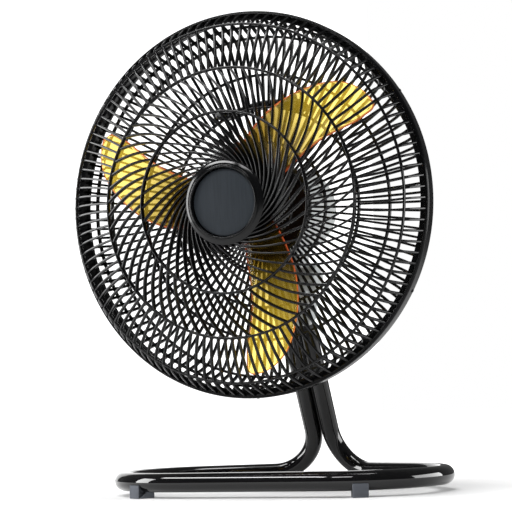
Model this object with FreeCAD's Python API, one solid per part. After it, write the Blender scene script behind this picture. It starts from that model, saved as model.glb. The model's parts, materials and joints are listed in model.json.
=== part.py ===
import FreeCAD, Part
import math
import os

Vector = FreeCAD.Vector

# A floor fan: a tilting round guard with a three-bladed propeller on a bent tube stand.
# Millimetres, +Z up, the guard faces -Y, floor at z = 0.
# The head is drawn in its own frame first: origin in the middle of the guard ring,
# fan axis along Y, front towards -Y.  It is then tipped by rest_tilt and lifted to axis_height.

# Pose and place of the head
axis_height = 380.7
rest_tilt = 3.8
pivot_back = 134.0
pivot_drop = 98.0

# Fits shared by all pieces
fit = 0.15
running_fit = 0.1
turning_gap = 0.4
seat_gap = 0.05
overrun = 5.0

# Guard ring
ring_radius = 257.5
ring_width = 24.0
ring_wall = 2.0
ring_lip = 8.0
rim_depth = 7.5
clip_count = 6
clip_angle = 9.0
clip_reach = 5.5
clip_screw_head = 2.6
clip_screw_shank = 1.4
clip_screw_head_height = 1.4
clip_screw_length = 7.0

# Front grille: radius and forward reach of its rings, its ribs and their sweep
hub_radius = 54.5
hub_reach = 62.2
ring_one_radius = 116.5
ring_one_reach = 68.8
ring_two_radius = 174.2
ring_two_reach = 55.7
shoulder_radius = 234.5
shoulder_reach = 39.1
band = 3.6
rib_depth = 6.5
shoulder_wall = 5.0
inner_ribs = 40
middle_ribs = 60
outer_ribs = 112
inner_rib = 3.2
outer_rib = 2.7
inner_start = 2.6
inner_sweep = 50.5
inner_sweep_mid_share = 0.69
middle_start = 2.75
middle_sweep = 15.7
middle_sweep_mid_share = 0.53
outer_start = 1.9
outer_sweep = 1.2
outer_sweep_mid_share = 0.19
edge_sweep = 0.6
edge_sweep_mid_share = 0.5
hub_plate = 3.4
hub_bevel = 3.0

# Badge in the middle of the front grille
badge_radius = 44.0
badge_edge = 2.5
badge_edge_height = 1.0
badge_sink = 0.6
badge_spigot = 6.0

# Rear grille
plate_radius = 66.0
plate_depth = 74.0
plate_thickness = 4.0
rear_ring_radii = (88.0, 136.0, 182.0, 230.0)
rear_ring_depths = (73.5, 71.5, 65.5, 47.0)
rear_rib_counts = (80, 80, 120, 120, 120)
rear_rib = 2.6
rear_rib_depth = 6.0

# Carry handle on the rear grille
handle_radius = 145.0
handle_half_angle = 26.0
handle_thickness = 12.5
handle_depth = 14.0
handle_room = 26.0
handle_post_angle = 3.0
handle_pad = 8.5
handle_pad_rise = 1.5
handle_screw = 2.0
handle_screw_head = 4.0
handle_screw_head_height = 2.4
handle_screw_bite = 18.0

# Motor
collar_radius = 14.0
collar_length = 16.0
grille_nut_radius = 24.0
grille_nut_height = 8.0
grille_nut_grips = 8
grille_nut_grip = 2.5
shield_radius = 46.0
shield_wall = 3.0
shield_face = 6.0
front_shield_length = 30.0
rear_shield_length = 32.0
lug_radius = 52.0
lug_thickness = 4.0
lug_place = 49.0
motor_screw_count = 4
motor_screw = 2.0
motor_screw_head = 2.9
motor_screw_head_height = 2.5
bearing_radius = 8.0
bearing_width = 8.0
shaft_radius = 4.0
shaft_front = 41.0
shaft_rear = 138.0
air_gap = 0.5
rotor_radius = 24.0
stack_length = 28.0
coil_length = 9.0
coil_crown = 3.0
coil_inner = 27.0
coil_outer = 40.0

# Propeller
blade_count = 3
blade_tip = 223.0
blade_thickness = 2.4
blade_start_angle = 28.4
propeller_reach = 8.0
propeller_hub = 34.0
propeller_hub_front = 30.0
propeller_hub_back = 16.0
propeller_wall = 3.0
propeller_boss = 9.0
propeller_boss_back = 24.0
blade_root = 31.0
blade_corner = 12.0
blade_widest = 130.0
blade_width = 75.0
blade_round_reach = 190.0
blade_round_width = 53.5
blade_radius_shares = (0.0, 0.2, 0.46, 0.74, 1.0)
blade_width_shares = (0.62, 0.84, 0.98, 1.0, 0.9)
blade_pitches = (34.0, 31.0, 26.0, 21.0, 17.0)
blade_camber_share = 0.07
blade_chord = 84.0
drive_pin = 1.5
drive_pin_length = 16.0
nut_radius = 15.0
nut_height = 15.0
nut_wall = 3.5

# Rear cover of the motor, light plastic
cover_radius = 60.0
cover_wall = 2.6
cover_straight_end = 178.0
cover_end = 210.0
cover_flat = 30.0
cover_screw = 2.0
cover_screw_place = 24.0
cover_screw_head = 4.0
cover_screw_head_height = 2.4
cover_screw_bite = 5.0
vent_count = 24
vent_width = 4.0
vent_length = 22.0
vent_start = 118.0

# Electrical pieces inside the cover
switch_size = 26.0
switch_depth = 20.0
switch_shaft = 3.0
switch_shaft_bite = 10.0
capacitor_width = 36.0
capacitor_height = 20.0
capacitor_depth = 15.0
capacitor_place = 33.0
gland_radius = 7.0
gland_flange = 9.5
gland_flange_thickness = 2.5
gland_bore = 3.4
gland_length = 5.0
gland_back = 97.0

# Speed knob
knob_radius = 15.0
knob_height = 15.0
knob_ridge = 5.0
knob_ridge_height = 3.0

# Neck and tilt joint
neck_half_width = 26.0
neck_half_depth = 20.0
tongue_half_width = 17.0
tongue_radius = 15.0
neck_start = 18.0
neck_screw = 2.5
neck_screw_head = 4.5
neck_screw_head_height = 3.0
neck_screw_length = 16.0
neck_screw_spread = 11.0
ear_thickness = 8.0
bolt_radius = 4.0
bolt_head_radius = 7.0
bolt_head_height = 5.0
washer_radius = 8.5
washer_thickness = 1.6
tilt_knob_radius = 19.0
tilt_knob_height = 20.0
tilt_knob_grips = 6
tilt_knob_grip = 5.0
tilt_nut_radius = 7.0
tilt_nut_height = 8.0

# Stand
tube_radius = 12.5
tube_wall = 1.5
foot_lift = 8.0
front_tube_lead = 27.0
loop_half_width = 224.4
corner_radius = 122.0
upright_gap = 1.5
upright_lean = 27.5
bend_radius = 55.0
bracket_half_width = 33.0
bracket_half_depth = 17.0
bracket_top = 24.0
bracket_bottom = 80.0
tube_end = 36.0
bracket_screw = 2.5
bracket_screw_head = 4.5
bracket_screw_head_height = 3.0
bracket_screw_place = 58.0
bracket_screw_length = 12.0

# Feet
foot_place = 153.0
foot_width = 20.0
foot_depth = 27.0
foot_height = 17.6
rear_foot_share = 0.6
foot_screw = 2.0
foot_screw_head = 4.0
foot_screw_head_height = 2.2
foot_screw_sink = 3.4
foot_screw_length = 9.0

# Worked out from the sizes above
tilt = math.radians(rest_tilt)
lean = math.radians(upright_lean)
pivot_y = pivot_back * math.cos(tilt) + pivot_drop * math.sin(tilt)
pivot_z = axis_height + pivot_back * math.sin(tilt) - pivot_drop * math.cos(tilt)
tube_height = tube_radius + foot_lift
upright_spacing = 2 * tube_radius + upright_gap
ring_front = -ring_width / 2
ring_inside = ring_radius - ring_wall
lip_inside = ring_radius - ring_lip
rim_outside = ring_inside - fit
front_rim_start = ring_front + ring_wall + seat_gap
front_rim_end = front_rim_start + rim_depth
rear_rim_start = front_rim_end + seat_gap
rear_rim_end = rear_rim_start + rim_depth
clip_start = rear_rim_end + seat_gap
clip_middle = (clip_start - ring_front) / 2
clip_turn = 180 / clip_count
rim_wall_outside = lip_inside - fit
rim_wall_inside = rim_wall_outside - shoulder_wall
plate_front = plate_depth - plate_thickness
motor_front = plate_depth + seat_gap
motor_joint = motor_front + front_shield_length
motor_end = motor_joint + rear_shield_length
collar_front = motor_front - collar_length
stack_middle = (motor_front + motor_end) / 2
cover_front = plate_depth + seat_gap
origin = Vector(0, 0, 0)
axis_x = Vector(1, 0, 0)
axis_y = Vector(0, 1, 0)
axis_z = Vector(0, 0, 1)


# Small shape helpers

def lathe(profile):
    """Solid turned about the fan axis from closed (radius, y) points."""
    points = [Vector(radius, y, 0) for radius, y in profile]
    outline = Part.makePolygon(points + points[:1])
    return Part.Face(outline).revolve(origin, axis_y, 360)


def rod(radius, start, end, axis=axis_y):
    """Round bar along an axis through a start point, as long as start to end along it."""
    return Part.makeCylinder(radius, end - start, axis * start, axis)


def block(low, high):
    """Box between two corners."""
    size = high - low
    return Part.makeBox(size.x, size.y, size.z, low)


def moved(shape, offset):
    copy = shape.copy()
    copy.translate(offset)
    return copy


def turned(shape, angle, axis=axis_y, centre=origin):
    copy = shape.copy()
    copy.rotate(centre, axis, angle)
    return copy


def around(shape, count, start=0):
    """Copies spread evenly round the fan axis."""
    return [turned(shape, start + 360 * index / count) for index in range(count)]


def polar(radius, degrees, y=0):
    """Point at a radius and an angle, counted counter-clockwise seen from the front."""
    angle = math.radians(degrees)
    return Vector(radius * math.cos(angle), y, radius * math.sin(angle))


def arc(first, middle, last):
    return Part.Arc(first, middle, last).toShape()


def line(first, last):
    return Part.LineSegment(first, last).toShape()


def pan_screw(shank, head, head_height, length):
    """Screw along -Z with its head's underside at the origin."""
    body = Part.makeCylinder(shank, length, Vector(0, 0, -length))
    cap = Part.makeCone(head, head - head_height / 2, head_height)
    return body.fuse(cap).removeSplitter()


def head_place(shape):
    """From the head's frame to its place over the floor."""
    copy = turned(shape, rest_tilt, axis_x)
    copy.translate(Vector(0, 0, axis_height))
    return copy


def stand_place(shape):
    """From the bracket's frame, origin on the tilt axis and Z up the uprights, to its place."""
    copy = turned(shape, upright_lean, axis_x)
    copy.translate(Vector(0, pivot_y, pivot_z))
    return copy


# Front and rear grilles

def rib_side(inner, outer, start, sweep, sweep_mid_share, half_rib, side):
    """Edge of a rib from the inner to the outer radius, half a rib thick to one side of its middle."""
    middle = (inner + outer) / 2
    mid_sweep = sweep * sweep_mid_share
    steps = ((inner, 0), (middle, mid_sweep), (outer, sweep))
    slope = math.radians(sweep) / (outer - inner)
    points = []
    for radius, turn in steps:
        slant = math.sqrt(1 + (radius * slope) ** 2)
        half_angle = math.degrees(half_rib * slant / radius)
        points.append(polar(radius, start + turn + side * half_angle))
    return points


def gap_wire(inner, outer, start, count, rib, sweep=0, sweep_mid_share=0):
    """Outline of the open space between two neighbouring ribs."""
    pitch = 360 / count
    first = rib_side(inner, outer, start, sweep, sweep_mid_share, rib / 2, 1)
    second = rib_side(inner, outer, start + pitch, sweep, sweep_mid_share, rib / 2, -1)
    inner_middle = (first[0] + second[0]).normalize() * inner
    outer_middle = (first[2] + second[2]).normalize() * outer
    if sweep:
        sides = (arc(*first), arc(second[2], second[1], second[0]))
    else:
        sides = (line(first[0], first[2]), line(second[2], second[0]))
    outer_edge = arc(first[2], outer_middle, second[2])
    inner_edge = arc(second[0], inner_middle, first[0])
    return Part.Wire([sides[0], outer_edge, sides[1], inner_edge])


def pierced(shell, zones, front, back):
    """A turned shell with the gaps of all its rib zones let through it along the axis."""
    edge = Part.Wire(Part.makeCircle(ring_radius + overrun, origin, axis_y))
    holes = []
    for zone in zones:
        count = zone["count"]
        for index in range(count):
            start = zone.get("start", 0) + 360 * index / count
            holes.append(gap_wire(zone["inner"], zone["outer"], start, count, zone["rib"],
                                  zone.get("sweep", 0), zone.get("mid_share", 0)))
    sheet = Part.Face([edge] + holes)
    sheet.translate(axis_y * front)
    screen = sheet.extrude(axis_y * (back - front))
    return shell.common(screen)


def front_grille():
    half = band / 2
    floor = -hub_reach + hub_plate - badge_sink
    profile = [
        (badge_spigot + fit, -hub_reach + rib_depth),
        (badge_spigot + fit, floor),
        (badge_radius + fit, floor),
        (badge_radius + fit, -hub_reach),
        (hub_radius - hub_bevel, -hub_reach),
        (hub_radius, -hub_reach + hub_bevel / 2),
        (ring_one_radius, -ring_one_reach),
        (ring_two_radius, -ring_two_reach),
        (shoulder_radius, -shoulder_reach),
        (rim_wall_outside, front_rim_start),
        (rim_outside, front_rim_start),
        (rim_outside, front_rim_end),
        (rim_wall_inside, front_rim_end),
        (rim_wall_inside, front_rim_start),
        (shoulder_radius - shoulder_wall, -shoulder_reach + rib_depth),
        (ring_two_radius, -ring_two_reach + rib_depth),
        (ring_one_radius, -ring_one_reach + rib_depth),
        (hub_radius, -hub_reach + rib_depth),
    ]
    zones = [
        dict(inner=hub_radius, outer=ring_one_radius - half, count=inner_ribs, rib=inner_rib,
             start=inner_start, sweep=inner_sweep, mid_share=inner_sweep_mid_share),
        dict(inner=ring_one_radius + half, outer=ring_two_radius - half, count=middle_ribs,
             rib=inner_rib, start=middle_start, sweep=middle_sweep, mid_share=middle_sweep_mid_share),
        dict(inner=ring_two_radius + half, outer=shoulder_radius - band, count=outer_ribs, rib=outer_rib,
             start=outer_start, sweep=outer_sweep, mid_share=outer_sweep_mid_share),
        dict(inner=shoulder_radius, outer=rim_wall_inside, count=outer_ribs, rib=outer_rib,
             start=outer_start + outer_sweep, sweep=edge_sweep, mid_share=edge_sweep_mid_share),
    ]
    front = -ring_one_reach - overrun
    return pierced(lathe(profile), zones, front, front_rim_end + overrun)


def front_badge():
    face = -hub_reach + badge_sink
    back = -hub_reach + hub_plate - badge_sink - seat_gap
    return lathe([
        (0, face),
        (badge_radius - badge_edge, face),
        (badge_radius - badge_edge, face - badge_edge_height),
        (badge_radius, face - badge_edge_height),
        (badge_radius, back),
        (badge_spigot, back),
        (badge_spigot, -hub_reach + rib_depth),
        (0, -hub_reach + rib_depth),
    ])


def handle_spots():
    """Angles of the two ends of the handle."""
    reach = handle_half_angle - handle_post_angle
    return (90 - reach, 90 + reach)


def pad_faces():
    """Depths of the front and back of the handle's pads, proud of the sloping grille on both sides."""
    inner, outer = rear_ring_radii[1:3]
    inner_depth, outer_depth = rear_ring_depths[1:3]
    share = (handle_radius - inner) / (outer - inner)
    depth = inner_depth + (outer_depth - inner_depth) * share
    return depth - rear_rib_depth - handle_pad_rise, depth + handle_pad_rise


def rear_grille():
    half = band / 2
    radii = rear_ring_radii
    outside = list(zip(radii, rear_ring_depths))
    inside = [(radius, depth - rear_rib_depth) for radius, depth in outside]
    inside[-1] = (radii[-1] - shoulder_wall, rear_ring_depths[-1] - rear_rib_depth)
    profile = [(collar_radius + fit, plate_front), (collar_radius + fit, plate_depth),
               (plate_radius, plate_depth)]
    profile += outside
    profile += [(rim_wall_outside, rear_rim_end), (rim_outside, rear_rim_end),
                (rim_outside, rear_rim_start), (rim_wall_inside, rear_rim_start),
                (rim_wall_inside, rear_rim_end)]
    profile += inside[::-1]
    profile += [(plate_radius, plate_front)]
    edges = [plate_radius] + [radius + half for radius in radii[:-1]] + [radii[-1]]
    ends = [radius - half for radius in radii[:-1]] + [radii[-1] - shoulder_wall, rim_wall_inside]
    zones = [dict(inner=inner, outer=outer, count=count, rib=rear_rib)
             for inner, outer, count in zip(edges, ends, rear_rib_counts)]
    grille = pierced(lathe(profile), zones, rear_rim_start - overrun, plate_depth + overrun)
    front, back = pad_faces()
    for angle in handle_spots():
        spot = polar(handle_radius, angle)
        pad = moved(rod(handle_pad, front, back), spot)
        hole = moved(rod(handle_screw + fit, front - overrun, back + overrun), spot)
        grille = grille.fuse(pad).cut(hole)
    return grille


def carry_handle():
    radius = handle_radius
    seat = pad_faces()[1] + seat_gap
    grip_start = seat + handle_room
    inner = radius - handle_thickness / 2
    outer = radius + handle_thickness / 2
    grip = [(inner, grip_start), (outer, grip_start), (outer, grip_start + handle_depth),
            (inner, grip_start + handle_depth)]
    bow = Part.Face(Part.makePolygon([Vector(r, y, 0) for r, y in grip + grip[:1]]))
    bow = bow.revolve(origin, axis_y, -2 * handle_half_angle)
    bow = turned(bow, handle_half_angle - 90)
    pieces = []
    for angle in handle_spots():
        post = moved(rod(handle_thickness / 2, seat, grip_start + handle_depth / 2), polar(radius, angle))
        pieces.append(post)
    handle = bow.multiFuse(pieces).removeSplitter()
    for angle in handle_spots():
        hole = rod(handle_screw + fit, seat - overrun, seat + handle_screw_bite)
        handle = handle.cut(moved(hole, polar(radius, angle)))
    return handle


def handle_screws():
    """Two screws from the front of the rear grille into the handle's posts."""
    front = pad_faces()[0] - seat_gap
    screw = pan_screw(handle_screw, handle_screw_head, handle_screw_head_height, handle_screw_bite)
    screw = turned(screw, 90, axis_x)
    return [moved(screw, polar(handle_radius, angle, front)) for angle in handle_spots()]


def guard_ring():
    profile = [
        (lip_inside, ring_front),
        (ring_radius, ring_front),
        (ring_radius, -ring_front),
        (ring_inside, -ring_front),
        (ring_inside, ring_front + ring_wall),
        (lip_inside, ring_front + ring_wall),
    ]
    ring = lathe(profile)
    hole = moved(rod(clip_screw_shank + fit, 0, ring_radius + overrun, axis_x), axis_y * clip_middle)
    return ring.cut(around(hole, clip_count, clip_turn))


def guard_clips():
    """Blocks behind the rear grille's rim, screwed to the ring from outside."""
    outer = ring_inside - seat_gap
    inner = outer - clip_reach
    profile = [(inner, clip_start), (outer, clip_start), (outer, -ring_front), (inner, -ring_front)]
    face = Part.Face(Part.makePolygon([Vector(r, y, 0) for r, y in profile + profile[:1]]))
    clip = turned(face.revolve(origin, axis_y, clip_angle), -clip_angle / 2)
    hole = moved(rod(clip_screw_shank + fit, inner - overrun, outer + overrun, axis_x), axis_y * clip_middle)
    return around(clip.cut(hole), clip_count, clip_turn)


def guard_clip_screws():
    screw = pan_screw(clip_screw_shank, clip_screw_head, clip_screw_head_height, clip_screw_length)
    screw = turned(screw, 90)
    screw.translate(Vector(ring_radius + seat_gap, clip_middle, 0))
    return around(screw, clip_count, clip_turn)


# Motor

def front_shield():
    seat = collar_front + bearing_width
    inner = shield_radius - shield_wall
    shell = lathe([
        (bearing_radius + seat_gap, collar_front),
        (collar_radius, collar_front),
        (collar_radius, motor_front),
        (shield_radius, motor_front),
        (shield_radius, motor_joint - lug_thickness),
        (lug_radius, motor_joint - lug_thickness),
        (lug_radius, motor_joint),
        (inner, motor_joint),
        (inner, motor_front + shield_face),
        (shaft_radius + turning_gap, motor_front + shield_face),
        (shaft_radius + turning_gap, seat + seat_gap),
        (bearing_radius + seat_gap, seat + seat_gap),
    ])
    return shell.cut(motor_screw_holes())


def rear_shield():
    start = motor_joint + seat_gap
    inner = shield_radius - shield_wall
    boss = motor_end - shield_face
    shell = lathe([
        (shaft_radius + turning_gap, motor_end),
        (shield_radius, motor_end),
        (shield_radius, start + lug_thickness),
        (lug_radius, start + lug_thickness),
        (lug_radius, start),
        (inner, start),
        (inner, boss),
        (bearing_radius + shield_wall, boss),
        (bearing_radius + shield_wall, boss - bearing_width / 2),
        (bearing_radius + seat_gap, boss - bearing_width / 2),
        (bearing_radius + seat_gap, boss + bearing_width / 2),
        (shaft_radius + turning_gap, boss + bearing_width / 2),
    ])
    holes = [moved(rod(cover_screw + fit, motor_end - shield_face - overrun, motor_end + overrun),
                   axis_x * (side * cover_screw_place)) for side in (-1, 1)]
    return shell.cut(motor_screw_holes() + holes)


def motor_screw_holes():
    hole_reach = lug_thickness + overrun
    hole = rod(motor_screw + fit, motor_joint - hole_reach, motor_joint + hole_reach)
    return around(moved(hole, axis_x * lug_place), motor_screw_count, 180 / motor_screw_count)


def motor_screws():
    length = 2 * lug_thickness + motor_screw_head_height
    screw = turned(pan_screw(motor_screw, motor_screw_head, motor_screw_head_height, length), -90, axis_x)
    screw.translate(Vector(lug_place, motor_joint + lug_thickness + 2 * seat_gap, 0))
    return around(screw, motor_screw_count, 180 / motor_screw_count)


def bearing(start):
    return lathe([
        (shaft_radius + running_fit, start),
        (bearing_radius, start),
        (bearing_radius, start + bearing_width),
        (shaft_radius + running_fit, start + bearing_width),
    ])


def stator_core():
    start = stack_middle - stack_length / 2
    bore = rotor_radius + air_gap
    outer = shield_radius - shield_wall - fit
    return lathe([(bore, start), (outer, start), (outer, start + stack_length), (bore, start + stack_length)])


def stator_coils():
    """The two wound ends of the stator, one each side of its stack."""
    rings = []
    for end, side in ((stack_middle - stack_length / 2, -1), (stack_middle + stack_length / 2, 1)):
        near = end + side * seat_gap
        far = end + side * coil_length
        rings.append(lathe([(coil_inner, near), (coil_outer, near), (coil_outer, far - side * coil_crown),
                            (coil_outer - coil_crown, far), (coil_inner + coil_crown, far),
                            (coil_inner, far - side * coil_crown)]))
    return rings


def motor_shaft():
    shaft = rod(shaft_radius, -shaft_front, shaft_rear)
    hole = rod(drive_pin + seat_gap, -shaft_radius - overrun, shaft_radius + overrun, axis_x)
    return shaft.cut(moved(hole, axis_y * pin_place()))


def pin_place():
    return propeller_boss_back - drive_pin - seat_gap


def drive_pin_rod():
    pin = rod(drive_pin, -drive_pin_length / 2, drive_pin_length / 2, axis_x)
    return moved(pin, axis_y * pin_place())


def rotor_core():
    start = stack_middle - stack_length / 2
    bore = shaft_radius + seat_gap
    return lathe([(bore, start), (rotor_radius, start), (rotor_radius, start + stack_length),
                  (bore, start + stack_length)])


def grille_nut():
    end = plate_front - seat_gap
    start = end - grille_nut_height
    nut = lathe([(collar_radius + fit, start), (grille_nut_radius, start), (grille_nut_radius, end),
                 (collar_radius + fit, end)])
    notch = moved(rod(grille_nut_grip, start - overrun, end + overrun), axis_x * grille_nut_radius)
    return nut.cut(around(notch, grille_nut_grips))


# Propeller

def blade_section(share, width_share, pitch):
    """Thin curved section of a blade, square to the blade's radius."""
    radius = blade_root + share * (blade_tip - blade_root)
    chord = blade_chord * width_share
    camber = chord * blade_camber_share
    half = blade_thickness / 2
    angle = math.radians(pitch)

    def place(along, rise):
        across = (along - chord / 2) * math.cos(angle) - rise * math.sin(angle)
        depth = -(along - chord / 2) * math.sin(angle) - rise * math.cos(angle)
        return Vector(radius, depth - propeller_reach, chord * math.cos(angle) / 2 + across)

    front = (place(0, half), place(chord / 2, camber + half), place(chord, half))
    back = (place(chord, -half), place(chord / 2, camber - half), place(0, -half))
    return Part.Wire([arc(*front), line(front[2], back[0]), arc(*back), line(back[2], front[0])])


def blade_plan():
    """Outline of a blade seen along the axis: a small round at one tip corner, a large one at the other."""
    edge = -blade_thickness / 2
    across = edge + blade_corner
    along = math.sqrt((blade_tip - blade_corner) ** 2 - across ** 2)
    centre = Vector(along, 0, across)
    outward = Vector(along, 0, across).normalize()
    slant = (outward - axis_z).normalize()
    start = centre - axis_z * blade_corner
    tip = outward * blade_tip
    widest = Vector(blade_widest, 0, blade_width)
    root = Vector(0, 0, blade_width)
    return Part.Wire([
        line(Vector(0, 0, edge), start),
        arc(start, centre + slant * blade_corner, tip),
        arc(tip, Vector(blade_round_reach, 0, blade_round_width), widest),
        line(widest, root),
        line(root, Vector(0, 0, edge)),
    ])


def blade():
    """Lofted blade trimmed to its outline."""
    rows = zip(blade_radius_shares, blade_width_shares, blade_pitches)
    sections = [blade_section(*row) for row in rows]
    loft = Part.makeLoft(sections, True, False)
    plan = Part.Face(blade_plan())
    plan.translate(axis_y * -blade_chord)
    return loft.common(plan.extrude(axis_y * (2 * blade_chord)))


def propeller():
    front = -propeller_hub_front
    inner = propeller_hub - propeller_wall
    hub = lathe([
        (shaft_radius + seat_gap, front),
        (propeller_hub, front),
        (propeller_hub, propeller_hub_back),
        (inner, propeller_hub_back),
        (inner, front + propeller_wall),
        (propeller_boss, front + propeller_wall),
        (propeller_boss, propeller_boss_back),
        (shaft_radius + seat_gap, propeller_boss_back),
    ])
    slot = Vector(propeller_boss + overrun, drive_pin + seat_gap, drive_pin + seat_gap)
    slot_low = Vector(-slot.x, pin_place() - slot.y, -slot.z)
    slot_high = Vector(slot.x, propeller_boss_back + overrun, slot.z)
    blades = [turned(blade(), -blade_start_angle - 360 * index / blade_count) for index in range(blade_count)]
    wheel = hub.multiFuse(blades)
    bore = rod(inner, front + propeller_wall, propeller_hub_back + overrun)
    keep = rod(propeller_boss, front + propeller_wall - overrun, propeller_boss_back)
    wheel = wheel.cut(bore.cut(keep))
    return wheel.cut(block(slot_low, slot_high)).removeSplitter()


def propeller_nut():
    back = -propeller_hub_front - seat_gap
    front = back - nut_height
    return lathe([
        (0, front),
        (nut_radius - nut_wall, front),
        (nut_radius, front + nut_wall),
        (nut_radius, back),
        (shaft_radius + seat_gap, back),
        (shaft_radius + seat_gap, -shaft_front - seat_gap),
        (0, -shaft_front - seat_gap),
    ])


# Rear cover and what it holds

def rear_cover():
    straight = cover_straight_end
    bulge = math.sin(math.radians(45))
    drop = cover_radius - cover_flat
    depth = cover_end - straight

    def skin(wall):
        corner = (cover_flat + bulge * drop, straight + bulge * depth)
        edges = [
            line(Vector(0, cover_front, 0), Vector(cover_radius - wall, cover_front, 0)),
            line(Vector(cover_radius - wall, cover_front, 0), Vector(cover_radius - wall, straight, 0)),
            arc(Vector(cover_radius - wall, straight, 0),
                Vector(corner[0] - wall * bulge, corner[1] - wall * bulge, 0),
                Vector(cover_flat, cover_end - wall, 0)),
            line(Vector(cover_flat, cover_end - wall, 0), Vector(0, cover_end - wall, 0)),
            line(Vector(0, cover_end - wall, 0), Vector(0, cover_front, 0)),
        ]
        return Part.Face(Part.Wire(edges)).revolve(origin, axis_y, 360)

    shell = skin(0).cut(skin(cover_wall))
    holes = [rod(switch_shaft + turning_gap, cover_end - cover_wall - overrun, cover_end + overrun)]
    for side in (-1, 1):
        hole = rod(cover_screw + fit, cover_end - cover_wall - overrun, cover_end + overrun)
        holes.append(moved(hole, axis_x * (side * cover_screw_place)))
    holes += neck_holes()
    gland = rod(gland_radius + fit, -cover_radius - overrun, 0, axis_z)
    holes.append(moved(gland, axis_y * gland_back))
    slot = block(Vector(-vent_width / 2, vent_start, 0),
                 Vector(vent_width / 2, vent_start + vent_length, cover_radius + overrun))
    first = 360 / vent_count
    low_half = range(vent_count // 4, vent_count - vent_count // 4 + 1)
    vents = [turned(slot, first * index) for index in range(vent_count) if index not in low_half]
    return shell.cut(holes + vents)


def cover_screws():
    length = cover_end - motor_end + cover_screw_bite
    screw = turned(pan_screw(cover_screw, cover_screw_head, cover_screw_head_height, length), -90, axis_x)
    screw.translate(axis_y * (cover_end + seat_gap))
    return [moved(screw, axis_x * (side * cover_screw_place)) for side in (-1, 1)]


def speed_switch():
    back = cover_end - cover_wall - seat_gap
    half = switch_size / 2
    body = block(Vector(-half, back - switch_depth, -half), Vector(half, back, half))
    shaft = rod(switch_shaft, back - switch_depth / 2, cover_end + switch_shaft_bite)
    return body.fuse(shaft).removeSplitter()


def speed_knob():
    start = cover_end + turning_gap
    end = start + knob_height
    reach = cover_end + switch_shaft_bite + running_fit
    body = lathe([
        (0, reach),
        (switch_shaft + running_fit, reach),
        (switch_shaft + running_fit, start),
        (knob_radius, start),
        (knob_radius - knob_ridge_height, end),
        (0, end),
    ])
    grip = block(Vector(-knob_ridge / 2, end - overrun, -knob_radius + knob_ridge_height),
                 Vector(knob_ridge / 2, end + knob_ridge_height, knob_radius - knob_ridge_height))
    return body.fuse(grip).removeSplitter()


def capacitor():
    start = motor_end + seat_gap
    low = Vector(-capacitor_width / 2, start, -capacitor_place - capacitor_height / 2)
    return block(low, low + Vector(capacitor_width, capacitor_depth, capacitor_height))


def cord_gland():
    """Flanged bush in the floor of the cover where the lead goes in."""
    outside = -cover_radius
    body = rod(gland_radius, outside - gland_flange_thickness, outside + gland_length, axis_z)
    flange = rod(gland_flange, outside - gland_flange_thickness, outside - seat_gap, axis_z)
    bore_start = outside - gland_flange_thickness - overrun
    bore = rod(gland_bore, bore_start, outside + gland_length + overrun, axis_z)
    return moved(body.fuse(flange).cut(bore).removeSplitter(), axis_y * gland_back)


# Neck and tilt joint

def neck_screw_spots():
    return [pivot_back + side * neck_screw_spread for side in (-1, 1)]


def neck_holes():
    hole_top = -cover_radius + overrun + cover_wall
    hole = rod(neck_screw + fit, -cover_radius - neck_screw_length, hole_top, axis_z)
    return [moved(hole, axis_y * spot) for spot in neck_screw_spots()]


def tilt_neck():
    pivot = Vector(0, pivot_back, -pivot_drop)
    tongue = moved(rod(tongue_radius, -tongue_half_width, tongue_half_width, axis_x), pivot)
    stem = block(pivot + Vector(-tongue_half_width, -tongue_radius, 0),
                 pivot + Vector(tongue_half_width, tongue_radius, neck_start + overrun))
    body = block(pivot + Vector(-neck_half_width, -neck_half_depth, neck_start),
                 Vector(neck_half_width, pivot_back + neck_half_depth, 0))
    saddle = rod(cover_radius + seat_gap, cover_front, cover_end + overrun)
    bore_reach = tongue_half_width + overrun
    bore = moved(rod(bolt_radius + fit, -bore_reach, bore_reach, axis_x), pivot)
    neck = tongue.multiFuse([stem, body]).cut([saddle, bore] + neck_holes())
    return neck.removeSplitter()


def neck_screws():
    """Screws from inside the cover down into the neck."""
    seat = -cover_radius + cover_wall + seat_gap
    screw = pan_screw(neck_screw, neck_screw_head, neck_screw_head_height, neck_screw_length)
    return [moved(screw, Vector(0, spot, seat + neck_seat_rise())) for spot in neck_screw_spots()]


def neck_seat_rise():
    """How far a flat screw head stands off the round inside of the cover."""
    inside = cover_radius - cover_wall
    return inside - math.sqrt(inside ** 2 - neck_screw_head ** 2)


def tilt_bracket():
    """Block that clasps the tops of both uprights, with two ears for the tilt bolt."""
    body = block(Vector(-bracket_half_width, -bracket_half_depth, -bracket_bottom),
                 Vector(bracket_half_width, bracket_half_depth, -bracket_top))
    ears = []
    inner = tongue_half_width + turning_gap
    for side in (-1, 1):
        near = side * inner
        far = side * (inner + ear_thickness)
        low, high = min(near, far), max(near, far)
        ears.append(rod(tongue_radius, low, high, axis_x))
        corner = Vector(low, -tongue_radius, -bracket_top - overrun)
        ears.append(block(corner, Vector(high, tongue_radius, 0)))
    sockets = []
    for side in (-1, 1):
        socket = rod(tube_radius + fit, -bracket_bottom - overrun, -tube_end + seat_gap, axis_z)
        sockets.append(moved(socket, axis_x * (side * upright_spacing / 2)))
    bore = rod(bolt_radius + fit, -inner - ear_thickness - overrun, inner + ear_thickness + overrun, axis_x)
    bracket = body.multiFuse(ears).cut(sockets + [bore] + bracket_screw_holes())
    return bracket.removeSplitter()


def bracket_screw_holes():
    holes = []
    for side in (-1, 1):
        hole = rod(bracket_screw + fit, 0, bracket_half_depth + overrun)
        holes.append(moved(hole, Vector(side * upright_spacing / 2, 0, -bracket_screw_place)))
    return holes


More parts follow.
